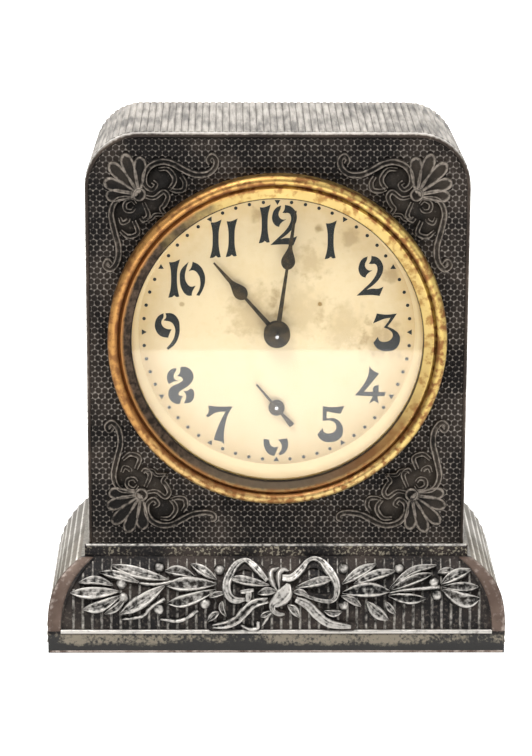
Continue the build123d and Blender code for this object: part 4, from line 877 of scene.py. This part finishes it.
def lay_reeds(inputs):
    """Reeds at even steps along the outline, leaning in with the casting's draft."""
    host = inputs["Host"]
    line = host.node("GeometryNodeMeshToCurve", {}, {"Mesh": host})
    steps = {"Curve": line, "Length": inputs["Pitch"]}
    stepped = line.node("GeometryNodeResampleCurve", {"mode": "LENGTH"}, steps)
    tangent = line.node("GeometryNodeInputTangent")
    rear = (0.0, 1.0, 0.0)
    outward = line.node("ShaderNodeVectorMath", {"operation": "CROSS_PRODUCT"}, {0: tangent, 1: rear})
    lean = line.node("ShaderNodeVectorMath", {"operation": "SCALE"}, {0: outward, "Scale": inputs["Draft"]})
    way = line.node("ShaderNodeVectorMath", {"operation": "SUBTRACT"}, {0: rear, 1: lean})
    turn = line.node("FunctionNodeAlignRotationToVector", {"axis": "Y"}, {"Vector": way})
    reed = line.node("GeometryNodeObjectInfo", {}, {"Object": inputs["Reed"]}, "Geometry")
    spots = {"Points": stepped, "Instance": reed, "Rotation": turn}
    return line.node("GeometryNodeInstanceOnPoints", {}, spots)


reed_tree = pattern("reeds", {"Reed": "Object", "Pitch": "Float", "Draft": "Float"}, lay_reeds)
one_reed = host_mesh("one_reed", [[(0, 0, 0), (0, reed_length, 0)]])
rod_values = {"Rod Radius": reed_radius * mm, "Worn": reed_wear, "Paint": reed_silver}
reed = add_object("reed", laid_mesh(one_reed, rod_tree, rod_values))
reed_line = [(x, reed_front, z) for x, z in arch_line(reed_radius - reed_proud, 3)]
reed_host = host_mesh("reed_outline", [reed_line])
reed_values = {"Reed": reed, "Pitch": reed_pitch * mm, "Draft": reed_draft, "Paint": reed_silver}
seat("case_reeding", laid_mesh(reed_host, reed_tree, reed_values), "case")
bpy.data.objects.remove(reed)

# Corner ornaments: a shell with two long scrolls on a plain ground in each corner of the face, cast in
# relief. The ridges are rubbed to brown metal, and the ground is black.
scroll_brown = cast_finish("scroll_brown", (0.009, 0.008, 0.007), (0.034, 0.027, 0.021),
                           (0.215, 0.185, 0.155), worn_from=0.26, broken=1.3)
ornament = Casting()
ornament_x = 47.3
top_boss_z = 161.3
low_boss_z = 54.0
plate_spots = [(-2, -1.5), (-9.5, -4.6), (-9.5, -9.5), (-7.1, -13.6), (-3.5, -15.3), (-0.3, -13.6)]
plate_spots += [(0.6, -9.9), (4.1, -8.9), (8.5, -7.3), (8.4, -4.1), (10.2, 0.6), (15.0, 1.2), (15.4, 4.4)]
plate_spots += [(14.5, 7.0), (11.5, 9.1), (7.5, 10.0), (3.5, 9.0), (2.2, 5.0), (1.0, 1.0)]
plate_sink = 0.3
plate_rise = 0.66
plate_wear = (0.0, 0.15)
petal_tips = ((0.5, 13.2), (-5.2, 14.2), (-10.2, 11.0), (-12.2, 4.6), (-11.6, -0.6))
petal_width = 6.4
petal_steps = ((0.0, -0.4), (0.0, 0.9), (0.3, 1.4), (0.75, 1.45), (1.05, 1.05), (1.5, 0.72))
petal_wear = (0.0, 0.25, 0.8, 0.6, 0.15, 0.0)
eyelet_steps = ((2.5, -0.4), (2.5, 1.2), (2.2, 1.75), (1.75, 1.75), (1.4, 1.2), (1.2, 0.75))
eyelet_wear = (0.0, 0.25, 0.75, 0.6, 0.0, 0.0)
scroll_widths = (0.7, 1.0, 1.0, 0.85)
scroll_wear = 0.8
long_width = 2.4
long_crest = 1.7
upper_scroll = [(4.6, 4.4), (5.8, 3.4), (4.3, 1.7), (2.1, 3.4), (2.0, 6.8), (4.0, 9.9), (7.7, 11.3)]
upper_scroll += [(11.3, 10.7), (14.6, 8.9), (17.7, 7.3), (20.7, 6.7)]
top_curl = [(23.7, 7.3), (25.9, 9.5), (26.2, 12.0), (24.8, 13.4), (23.6, 12.0), (24.3, 10.6)]
low_curl = [(23.2, 6.6), (25.2, 7.3), (25.5, 8.8), (24.3, 9.2)]
side_scroll = [(-2.2, -1.2), (-6.7, -1.6), (-8.8, -3.7), (-9.6, -6.9), (-9.1, -10.3), (-8.1, -14.4)]
side_scroll += [(-7.2, -18.1), (-7.2, -21.6), (-8.1, -24.4), (-10.0, -26.3), (-11.8, -25.0), (-11.0, -23.3)]
side_scroll += [(-9.7, -24.6)]
small_scrolls = [
    (2.0, 1.5, (6.7, 8.7), (9.8, 8.7), (11.9, 6.2), (11.9, 4.0), (10.4, 1.9)),
    (2.0, 1.5, (10.4, 1.9), (12.5, 1.2), (15.0, 1.6), (15.6, 4.0), (14.4, 6.2)),
    (1.8, 1.5, (-1.2, -3.4), (-2.6, -2.0), (-4.8, -3.2), (-4.6, -5.4), (-2.6, -5.8), (-1.6, -4.6)),
    (1.8, 1.4, (-6.7, -8.1), (-5.8, -10.0), (-4.0, -9.3), (-3.7, -8.4)),
    (2.0, 1.5, (-6.4, -12.8), (-3.7, -14.8), (-0.5, -13.4), (-1.8, -9.3)),
    (2.0, 1.6, (2.0, -0.8), (5.2, -1.2), (8.3, 0.9), (9.8, -0.9), (8.6, -3.7), (7.6, -5.0), (8.9, -7.2)),
    (2.0, 1.6, (1.5, -2.8), (3.1, -7.2), (1.5, -9.0), (0.6, -8.1)),
    (1.6, 1.4, (1.5, -9.0), (4.0, -8.7), (5.5, -7.2), (8.9, -7.2)),
]


def petal(tip, wide, inset):
    """Outline of a hollow petal with a narrow foot and a round tip, drawn in by an inset."""
    way = Vector(tip)
    side = Vector((-way.y, way.x)).normalized()
    ring = []
    for turn in range(0, 360, 15):
        share = (1.0 - cos(radians(turn))) / 2
        full = wide / 2 * (0.3 + 0.7 * share) * ((1.0 - share**6) * (1.0 - (1.0 - share) ** 12)) ** 0.5
        half = max(full - inset, 0.12 * full)
        along = (2.0 * inset + share * (way.length - 3.0 * inset)) / way.length
        spot = way * along + side * (half if turn < 180 else -half)
        ring.append((spot.x, spot.y))
    return ring


def corner_ornament(side, up, boss_z, curl):
    """Plate, shell, eyelet and scrolls of one corner, set about its boss and mirrored from the top left."""

    def corner(x, z, height):
        return (-side * (x - ornament_x), face_y - height, boss_z + up * z)

    def scroll(wide, crest, *points):
        widths = [wide * share for share in scroll_widths]
        ornament.stroke(corner, points, widths, crest, channel, worn=scroll_wear, sharp=2)

    plate = smoothed([Vector(p) for p in (*plate_spots, plate_spots[0])], 3)[:-1]
    ornament.shell(corner, [(plate, -plate_sink), (plate, plate_rise)], plate_wear)
    for tip in petal_tips:
        rings = [(petal(tip, petal_width, inset), height) for inset, height in petal_steps]
        ornament.shell(corner, rings, petal_wear)
    rings = [(circle(0.0, 0.0, radius), height) for radius, height in eyelet_steps]
    ornament.shell(corner, rings, eyelet_wear)
    scroll(long_width, long_crest, *upper_scroll, *curl)
    scroll(long_width, long_crest, *side_scroll)
    for wide, crest, *points in small_scrolls:
        scroll(wide, crest, *points)


for side in (-1, 1):
    corner_ornament(side, 1, top_boss_z, top_curl)
    corner_ornament(side, -1, low_boss_z, low_curl)
ornament.piece("corner_ornaments", scroll_brown, "case")

# Movement: brass plates and wheels on steel arbors, hidden inside the can. The brass is pressed and stoned,
# the arbors are turned, and the springs are drawn steel; none of it shows until the can is opened.


def brass_shades(place):
    cloud = place.noise(7.0)
    fine = place.noise(0.5, 2.0)
    dull = cloud.between(0.4, 0.7)
    return {
        "Base Color": dull.mix((0.60, 0.40, 0.15), (0.42, 0.26, 0.09)),
        "Roughness": 0.28 + dull * 0.2 + (fine - 0.5) * 0.1,
    }


def steel_shades(place):
    cloud = place.noise(5.0)
    fine = place.noise(0.4, 2.0)
    return {
        "Base Color": cloud.between(0.4, 0.7).mix((0.42, 0.42, 0.42), (0.27, 0.26, 0.25)),
        "Roughness": 0.3 + (fine - 0.5) * 0.2 + cloud * 0.1,
    }


movement_brass = finish("movement_brass", {"Metallic": 1.0}, brass_shades)
steel = finish("steel", {"Metallic": 1.0}, steel_shades)
dress(movement_brass, "front_plate", "back_plate", "great_wheel", "centre_wheel", "third_wheel")
dress(movement_brass, "fourth_wheel", "escape_wheel", "hour_wheel", "minute_wheel", "balance_wheel")
dress(movement_brass, "cannon_pinion", "roller", "pallet_lever", "regulator")
dress(steel, "centre_arbor", "third_arbor", "fourth_arbor", "escape_arbor", "pallet_arbor", "pallet_pins")
dress(steel, "balance_staff", "winding_arbor", "minute_wheel_stud", "mainspring", "hairspring")
dress(steel, "ratchet_wheel", "click", "click_screw", "balance_screws", "plate_pillars", "hairspring_stud")

# Click spring: a leaf of spring steel on the great wheel, whose free end presses on the tail of the click.
# It is a copy of its solid, and the points of its foot and its free end are found; nothing here bends it.
leaf_mesh = frame["nodes"]["click_spring"].data.copy()
leaf_shape = bmesh.new()
leaf_shape.from_mesh(leaf_mesh)
bmesh.ops.remove_doubles(leaf_shape, verts=leaf_shape.verts, dist=0.001 * mm)
bmesh.ops.subdivide_edges(leaf_shape, edges=leaf_shape.edges, cuts=1, use_grid_fill=True)
leaf_shape.to_mesh(leaf_mesh)
leaf_shape.free()
leaf_mesh.materials.clear()
leaf_mesh.materials.append(steel)
joints = {joint["name"]: joint for joint in frame["record"]["behaviour"]["joints"]}
click_pivot = Vector(joints["click_lift"]["pos_m"])


def from_pivot(point):
    """How far a point of the leaf is from the click's screw, across the movement."""
    return (point.co - click_pivot).xz.length


leaf_foot = max(leaf_mesh.vertices, key=from_pivot).co.copy()
leaf_tip = min(leaf_mesh.vertices, key=from_pivot).co.copy()
leaf_tip.y = leaf_foot.y
click_leaf = add_object("click_leaf", leaf_mesh)
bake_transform(click_leaf)
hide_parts("click_spring")

# Dial: printed paper glued to a tin disc, which stands on three feet. The paper has yellowed towards its
# edge, and damp has stained it brown.
dial_middle = 36.0
dial_edge = 50.0
stain_spots = [(24, 2, 11, 0.3), (-8, 7, 13, 0.4), (8, 8, 13, 0.3), (12, 25, 8, 0.4), (14, 37, 2, 0.7)]
stain_spots += [(25, 34, 5, 0.45), (39.6, 21, 4, 0.5), (36, -2, 10, 0.55), (-7, 42, 3.5, 0.5)]
stain_spots += [(-33, 10, 1, 0.6), (15, 10, 0.8, 0.8)]


def paper_shades(place):
    x = place.axis("X") / mm
    z = place.axis("Z") / mm - dial_z
    cloud = place.noise(14.0, 5.0)
    blots = place.noise(3.0, 7.0)
    fine = place.noise(0.7, 4.0)
    edge = x.diagonal(z).between(dial_middle, dial_edge)
    aged = edge * 0.6 + (cloud - 0.5) * 0.9 + (blots - 0.5) * 0.9
    colour = aged.mix((0.60, 0.485, 0.29), (0.49, 0.35, 0.15))
    stain = 0.0
    for across, up, reach, strength in stain_spots:
        far = (x - across).diagonal(z - up) + (blots - 0.5) * (reach * 2.0)
        stain = stain + (1.0 - far.between(0.2 * reach, reach)) * strength
    colour = stain.mix(colour, (0.225, 0.135, 0.030))
    spots = fine.between(0.68, 0.76) * 0.4
    return {
        "Base Color": spots.mix(colour, (0.36, 0.25, 0.12)),
        "Roughness": 0.72 + (fine - 0.5) * 0.2,
        "Normal": fine.bump(0.03),
    }


dial_paper = finish("dial_paper", {"Metallic": 0.0}, paper_shades)
dress(dial_paper, "dial")

# Numerals: printed in black on the paper, in forms like those of a stencil. The six is cut short, to make
# room for the seconds hand. In the outlines of the digits, c marks a sharp corner.
dial_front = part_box("dial")[0].y / mm
on_dial = Matrix.Translation((0.0, dial_front * mm, dial_z * mm)) @ Matrix.Rotation(radians(90), 4, "X")
ink_rise = 0.02


def ink_shades(place):
    faded = place.noise(0.9, 3.0).between(0.55, 0.8)
    return {
        "Base Color": (faded * 0.5).mix((0.006, 0.008, 0.007), (0.06, 0.055, 0.04)),
        "Roughness": 0.5 + faded * 0.2,
    }


dial_ink = finish("dial_ink", {"Metallic": 0.0, "Specular IOR Level": 0.1}, ink_shades)
c = True
digits = {
    "0": [[(-1.3, 6.1, c), (-4.0, 3.0), (-4.4, 0), (-3.7, -3.7), (-1.9, -5.9), (-0.3, -6.1, c),
           (-0.1, -4.8), (1.1, -2.5, c), (-0.6, -2.8), (-2.0, -1.5), (-2.6, 0.7), (-2.2, 3.3)],
          [(0.1, 6.1, c), (2.4, 4.8), (4.1, 1.9), (4.4, -0.4), (3.8, -3.3), (2.4, -6.1, c),
           (1.3, -5.9, c), (2.4, -3.7), (2.7, -0.7), (1.9, 1.7), (0.3, 3.0), (-1.4, 2.6, c),
           (-0.4, 4.1)]],
    "1": [[(-1.7, 5.9, c), (-0.3, 5.9), (2.1, 6.9, c), (1.25, 3.5), (1.05, 0.3), (1.2, -3.2),
           (1.8, -6.4, c), (0.8, -6.5), (0.1, -5.9, c), (-0.6, -6.5), (-2.0, -6.8, c), (-1.2, -3.5),
           (-1.0, 0), (-1.15, 3.2)]],
    "2": [[(-1.1, 7.0, c), (-2.9, 6.1), (-4.1, 3.8), (-4.1, 1.6), (-3.0, -0.1), (-1.8, -0.6, c),
           (-1.4, 0.4), (0.7, 2.2, c), (-0.4, 2.0), (-1.6, 2.7), (-2.0, 4.2), (-1.4, 5.7)],
          [(0.2, 7.2, c), (2.3, 6.6), (4.1, 4.2), (4.3, 2.3), (3.4, -0.3), (1.3, -2.9), (-1.3, -4.9, c),
           (0.5, -4.5), (2.7, -4.5), (4.5, -3.8, c), (3.2, -7.1, c), (0.9, -6.8), (-4.8, -7.0, c),
           (-2.0, -4.3), (0.5, -1.7), (2.0, 0.9), (2.3, 2.7), (1.6, 4.2), (0.2, 4.3), (-0.7, 4.4, c),
           (0, 5.5)]],
    "3": [[(-3.4, 6.6, c), (0, 6.2), (3.6, 6.6, c), (1.8, 3.8), (0.4, 1.9, c), (2.7, 0.8), (4.5, -1.0),
           (4.8, -3.3), (3.6, -5.9), (0.4, -7.0), (-2.9, -6.1), (-4.5, -4.0, c), (-2.9, -1.8, c),
           (-2.3, -3.1), (-0.4, -3.6), (1.8, -2.5), (2.2, -0.7), (0.9, 0.8), (-0.9, 1.6, c), (0.7, 3.8),
           (1.4, 5.1, c), (-0.7, 4.7), (-2.9, 3.8), (-4.7, 3.0, c), (-3.9, 4.9)]],
    "4": [[(-0.4, 6.9, c), (0.7, 5.5), (3.0, 4.3, c), (0.9, 1.5), (-2.2, -2.4, c), (0.9, -2.4, c),
           (1.1, -0.7), (2.9, 0.2, c), (2.9, -2.5, c), (5.4, -2.5, c), (5.0, -3.9, c), (2.5, -4.0, c),
           (3.0, -6.7, c), (1.4, -5.6, c), (-0.4, -6.7, c), (0.9, -4.0, c), (-5.4, -3.7, c),
           (-3.0, -0.7), (-0.9, 3.3)]],
    "5": [[(-2.9, 6.5, c), (0.5, 6.1), (4.7, 6.6, c), (3.4, 3.7, c), (0.5, 4.1), (-1.5, 4.6, c),
           (-1.5, 2.0, c), (1.6, 1.9), (3.9, -0.4), (4.3, -2.6), (3.4, -5.2), (-0.2, -6.7), (-3.4, -5.8),
           (-4.7, -3.9, c), (-2.9, -1.5, c), (-2.3, -3.0), (-0.5, -3.5), (1.6, -2.4), (1.8, -0.4),
           (0.2, 1.1), (-2.9, 1.1, c)]],
    "6": [[(-4.0, 3.0, c), (-2.0, 2.7, c), (-1.8, 1.3), (-0.7, 0.1), (1.2, 0.1, c), (-0.2, -3.3, c),
           (-2.2, -2.5), (-3.8, 0.3)],
          [(1.1, 2.7, c), (4.3, 3.2, c), (4.7, 1.0), (3.6, -2.0), (1.8, -3.1, c), (1.3, -2.5, c),
           (2.4, -0.5), (2.2, 1.3)]],
    "7": [[(-3.9, 7.1, c), (-0.2, 6.7), (4.7, 6.8, c), (3.0, 3.7), (2.0, 0.0), (1.6, -3.7),
           (1.7, -7.0, c), (0.6, -6.1, c), (-2.0, -5.4, c), (-0.9, -1.9), (0.6, 1.9), (2.2, 4.9, c),
           (-0.9, 4.6), (-4.0, 2.8, c), (-4.7, 3.3, c), (-3.8, 4.8)]],
    "8": [[(-0.1, 6.8, c), (2.2, 6.7), (4.2, 4.6), (4.4, 2.6), (2.9, 0.2), (0.8, -1.3), (-0.6, -2.4),
           (-0.6, -3.5), (0.8, -3.7, c), (0, -5.3), (-0.3, -6.7, c), (-2.4, -6.3), (-4.1, -4.3),
           (-4.2, -2.0), (-3.2, -0.4), (-0.6, 0.9), (0.8, 1.9, c), (0.4, 3.0), (-1.2, 3.5, c),
           (-0.2, 5.0)],
          [(-1.4, 6.5, c), (-3.5, 5.8), (-4.8, 3.5), (-4.6, 1.7), (-4.1, 0.6, c), (-2.4, 1.5),
           (-0.8, 1.7, c), (-2.1, 2.4), (-2.4, 3.9), (-1.7, 5.4)],
          [(3.4, -0.9, c), (4.4, -1.7), (4.7, -3.5), (3.7, -5.8), (1.0, -6.5, c), (1.7, -5.0),
           (1.9, -3.5), (1.0, -2.0, c), (2.6, -1.7)]],
    "9": [[(-1.3, 6.4, c), (-3.1, 5.3), (-4.3, 2.7), (-4.0, 0.3), (-2.4, -1.8), (0.3, -2.5, c),
           (0.6, -1.4), (1.5, 0.6, c), (-0.3, 0.8), (-1.7, 1.9), (-2.0, 3.4), (-1.3, 4.9)],
          [(-0.6, 6.4, c), (1.9, 6.2), (3.9, 4.0), (4.3, 1.6), (4.1, -1.4), (2.6, -4.8), (0.3, -6.8, c),
           (-0.3, -6.2, c), (1.5, -4.0), (2.6, -1.4), (2.6, 1.2), (1.5, 3.0), (-1.3, 3.8, c),
           (-0.4, 4.9)]],
}
numeral_places = [("1", -4.4, 38.5), ("2", 2.4, 38.1), ("1", 18.4, 32.9), ("2", 32.4, 20.1), ("3", 38.1, 0.1)]
numeral_places += [("4", 32.8, -19.2), ("5", 19.1, -33.3), ("6", -0.5, -41.8), ("7", -20.0, -33.7)]
numeral_places += [("8", -33.5, -19.4), ("9", -38.1, 0.4), ("1", -35.7, 19.1), ("0", -29.3, 19.1)]
numeral_places += [("1", -21.3, 33.2), ("1", -15.8, 33.6)]
numeral_curve = bpy.data.curves.new("numerals", "CURVE")
numeral_curve.dimensions = "2D"
numeral_curve.fill_mode = "BOTH"
numeral_curve.extrude = ink_rise * mm
numeral_curve.resolution_u = 6
for digit, across, up in numeral_places:
    for outline in digits[digit]:
        line = numeral_curve.splines.new("BEZIER")
        line.bezier_points.add(len(outline) - 1)
        line.use_cyclic_u = True
        for point, (x, z, *sharp) in zip(line.bezier_points, outline):
            point.co = ((across + x) * mm, (up + z) * mm, 0.0)
            point.handle_left_type = point.handle_right_type = "VECTOR" if sharp else "AUTO"
numeral_mesh = plain_mesh(add_object("numeral_shape", numeral_curve))
numeral_mesh.transform(on_dial @ Matrix.Translation((0.0, 0.0, ink_rise * mm)))
numeral_mesh.materials.clear()
numeral_mesh.materials.append(dial_ink)
seat("numerals", numeral_mesh, "case", smooth=False)

# Minute track: printed in the same ink on one circle near the paper's edge, a round dot for each minute and
# a small wedge for every fifth.
track_radius = 46.4
dot_radius = 0.62
wedge_radius = 1.15


def lay_track(inputs):
    """A dot for each minute on a circle, and every fifth a small wedge that points inwards."""
    host = inputs["Host"]
    index = host.node("GeometryNodeInputIndex")
    fifth = host.math("LESS_THAN", host.math("MODULO", index, 5.0), 0.5)
    spot = host.node("GeometryNodeInputPosition")
    inwards = host.math("ARCTAN2", 0.0 - spot.axis("Y"), 0.0 - spot.axis("X"))
    turn = host.node("ShaderNodeCombineXYZ", {}, {"Z": inwards})
    laid = host.node("GeometryNodeJoinGeometry")
    for sides, size, chosen in ((12, inputs["Dot"], 1.0 - fifth), (3, inputs["Wedge"], fifth)):
        ends = {"Vertices": sides, "Radius": size, "Depth": inputs["Depth"]}
        mark = host.node("GeometryNodeMeshCylinder", {}, ends)
        spots = {"Points": host, "Selection": chosen, "Instance": mark, "Rotation": turn}
        many = host.node("GeometryNodeInstanceOnPoints", {}, spots)
        laid.tree.links.new(many.socket, laid.socket.node.inputs[0])
    return laid


track_tree = pattern("minute_track", {"Dot": "Float", "Wedge": "Float", "Depth": "Float"}, lay_track)
track_spots = []
for minute in range(60):
    angle = radians(90 - 6 * minute)
    track_spots.append([(track_radius * cos(angle), track_radius * sin(angle), ink_rise)])
track_values = {"Dot": dot_radius * mm, "Wedge": wedge_radius * mm, "Depth": 2 * ink_rise * mm}
track_values |= {"Paint": dial_ink}
track_mesh = laid_mesh(host_mesh("minute_spots", track_spots), track_tree, track_values)
track_mesh.transform(on_dial)
seat("minute_track", track_mesh, "case", smooth=False)

# Hands: punched from thin steel, blued dark and rubbed grey-brown, each pressed on its own pipe or arbor.
# The bright end of the centre arbor shows in the middle of the minute hand.


def hand_shades(place):
    cloud = place.noise(3.0)
    fine = place.noise(0.5)
    return {
        "Base Color": cloud.between(0.4, 0.7).mix((0.017, 0.013, 0.007), (0.052, 0.035, 0.015)),
        "Roughness": 0.48 + (fine - 0.5) * 0.3,
    }


hand_steel = finish("hand_steel", {"Metallic": 0.8, "Specular IOR Level": 0.2}, hand_shades)
dress(hand_steel, "hour_hand", "minute_hand", "seconds_hand")

# Bezel and sight ring: the bezel is spun brass, tarnished brown in its groove, and pushed into the case by
# its skirt. Light and shade are painted on it: its cove is painted gold on the side toward the light and dark
# brown on the other, its lower part is painted lighter, a brown band is painted on its shaded side, and its
# inner edge is painted near black as a shadow. A brass cone behind the glass fills the step down to the dial.
groove_radius = 55.4
shade_band_radius = 54.2
cove_radius = 52.6
gap_radius = 50.25
cone_middle = 48.8
cone_rim = 50.6


def bezel_shades(place):
    x = place.axis("X") / mm
    z = place.axis("Z") / mm - dial_z
    radius = x.diagonal(z)
    cloud = place.noise(8.0, 4.0)
    blots = place.noise(2.6, 4.0)
    fine = place.noise(0.9, 3.0)
    left = (cloud * 30.0 - x).between(-25.0, 55.0)
    gold = left.mix((0.45, 0.325, 0.105), (0.37, 0.19, 0.058))
    # Painted light: the lower part of the bezel is painted a lighter gold.
    gold = ((0.0 - z).between(25.0, 52.0) * 0.7).mix(gold, (0.50, 0.36, 0.15))
    aged = blots.between(0.42, 0.62).mix(gold, (0.19, 0.085, 0.028))
    groove = 1.0 - abs(radius - groove_radius).between(0.2, 1.0)
    aged = (groove * cloud.between(0.35, 0.6) * 0.8).mix(aged, (0.15, 0.055, 0.018))
    # Painted light: 1 on the side of the bezel toward the light, up and to the right, and 0 on the other
    # side.
    lit = (x * 0.7 + z * 0.71 + (cloud - 0.5) * 45.0).between(-4.0, 34.0)
    # Painted shade: a brown band at this radius, painted only on the side away from the light.
    rust = (1.0 - abs(radius - shade_band_radius).between(0.5, 1.3)) * (1.0 - lit)
    aged = (rust * 0.75).mix(aged, (0.25, 0.115, 0.038))
    aged = (fine.between(0.64, 0.76) * 0.6).mix(aged, (0.05, 0.03, 0.015))
    # Painted reflection: the gold painted in the cove on the side toward the light.
    bright = blots.between(0.46, 0.70).mix((0.37, 0.27, 0.10), (0.22, 0.125, 0.038))
    # Painted shade: the dark brown painted in the cove on the side away from the light, lighter at the bottom
    # and browner on the right.
    cove_shade = (fine * 0.4 + blots * 0.6).between(0.38, 0.66).mix((0.013, 0.009, 0.006), (0.060, 0.040, 0.027))
    cove_shade = ((0.0 - z).between(36.0, 52.0) * 0.7).mix(cove_shade, (0.115, 0.085, 0.055))
    cove_shade = (x.between(5.0, 42.0) * 0.8).mix(cove_shade, (0.17, 0.075, 0.024))
    cove = 1.0 - (radius + (blots - 0.5) * 1.4).between(cove_radius, cove_radius + 1.4)
    # Painted shadow: the inner edge of the bezel, next to the dial, is painted near black.
    gap_shadow = 1.0 - radius.between(gap_radius, gap_radius + 0.55)
    return {
        "Base Color": gap_shadow.mix(cove.mix(aged, lit.mix(cove_shade, bright)), (0.008, 0.006, 0.005)),
        "Roughness": 0.36 + cloud * 0.2 + (fine - 0.5) * 0.15,
        "Normal": (fine * 0.5 + blots * 0.5).bump(0.1),
    }


def sight_shades(place):
    x = place.axis("X") / mm
    z = place.axis("Z") / mm - dial_z
    cloud = place.noise(6.0, 4.0)
    fine = place.noise(0.6, 3.0)
    outer = (x.diagonal(z) + (cloud - 0.5) * 1.0).between(cone_middle, cone_rim)
    return {
        "Base Color": outer.mix((0.68, 0.56, 0.33), (0.42, 0.28, 0.10)),
        "Roughness": 0.4 + cloud * 0.2,
        "Normal": fine.bump(0.04),
    }


bezel_brass = finish("bezel_brass", {"Metallic": 0.9}, bezel_shades)
sight_brass = finish("sight_brass", {"Metallic": 0.0}, sight_shades)
dress(bezel_brass, "bezel")
dress(sight_brass, "sight_ring")

# Glass: a flat disc behind the bezel's lip, slightly hazy with age. It mirrors the bright sheet on the
# table, more the flatter it is looked at.


def glass_shades(place):
    return {"Roughness": 0.015 + place.noise(6.0, 4.0).between(0.5, 0.8) * 0.03}


glass_steady = {"Metallic": 1.0, "Base Color": (1.0, 1.0, 1.0, 1.0)}
window_glass = finish("window_glass", glass_steady, glass_shades)
glass_tree = window_glass.node_tree
shine = Wire(glass_tree, glass_tree.nodes["Principled BSDF"].outputs[0])
fresnel = shine.node("ShaderNodeFresnel", {}, {"IOR": 1.45})
outer_face = 1.0 - shine.node("ShaderNodeNewGeometry", out="Backfacing")
clear = shine.node("ShaderNodeBsdfTransparent")
glazed = shine.node("ShaderNodeMixShader", {}, {0: fresnel * outer_face, 1: clear, 2: shine})
glass_tree.links.new(glazed.socket, glass_tree.nodes["Material Output"].inputs["Surface"])
dress(window_glass, "crystal")

# Back: the tin can around the movement is held by four screws through its ears, and the winding key, the
# hand-setting knob and the regulator's pointer stand out of it.


def tin_shades(place):
    cloud = place.noise(8.0, 4.0)
    fine = place.noise(0.6, 3.0)
    dull = place.noise(16.0, 5.0).between(0.35, 0.65)
    rust = (cloud + (fine - 0.5) * 0.4).between(0.58, 0.76) * 0.8
    tinned = dull.mix((0.24, 0.23, 0.215), (0.15, 0.138, 0.12))
    return {
        "Base Color": rust.mix(tinned, (0.13, 0.075, 0.04)),
        "Roughness": 0.38 + rust * 0.3 + (fine - 0.5) * 0.15,
        "Metallic": 0.9 - rust * 0.5,
        "Normal": fine.bump(0.05),
    }


tin = finish("tin", {"Specular IOR Level": 0.5}, tin_shades)
dress(tin, "movement_can")
dress(movement_brass, "set_knob")
dress(steel, "winding_key", "can_screws", "can_nuts", "pillar_nuts", "base_screws")
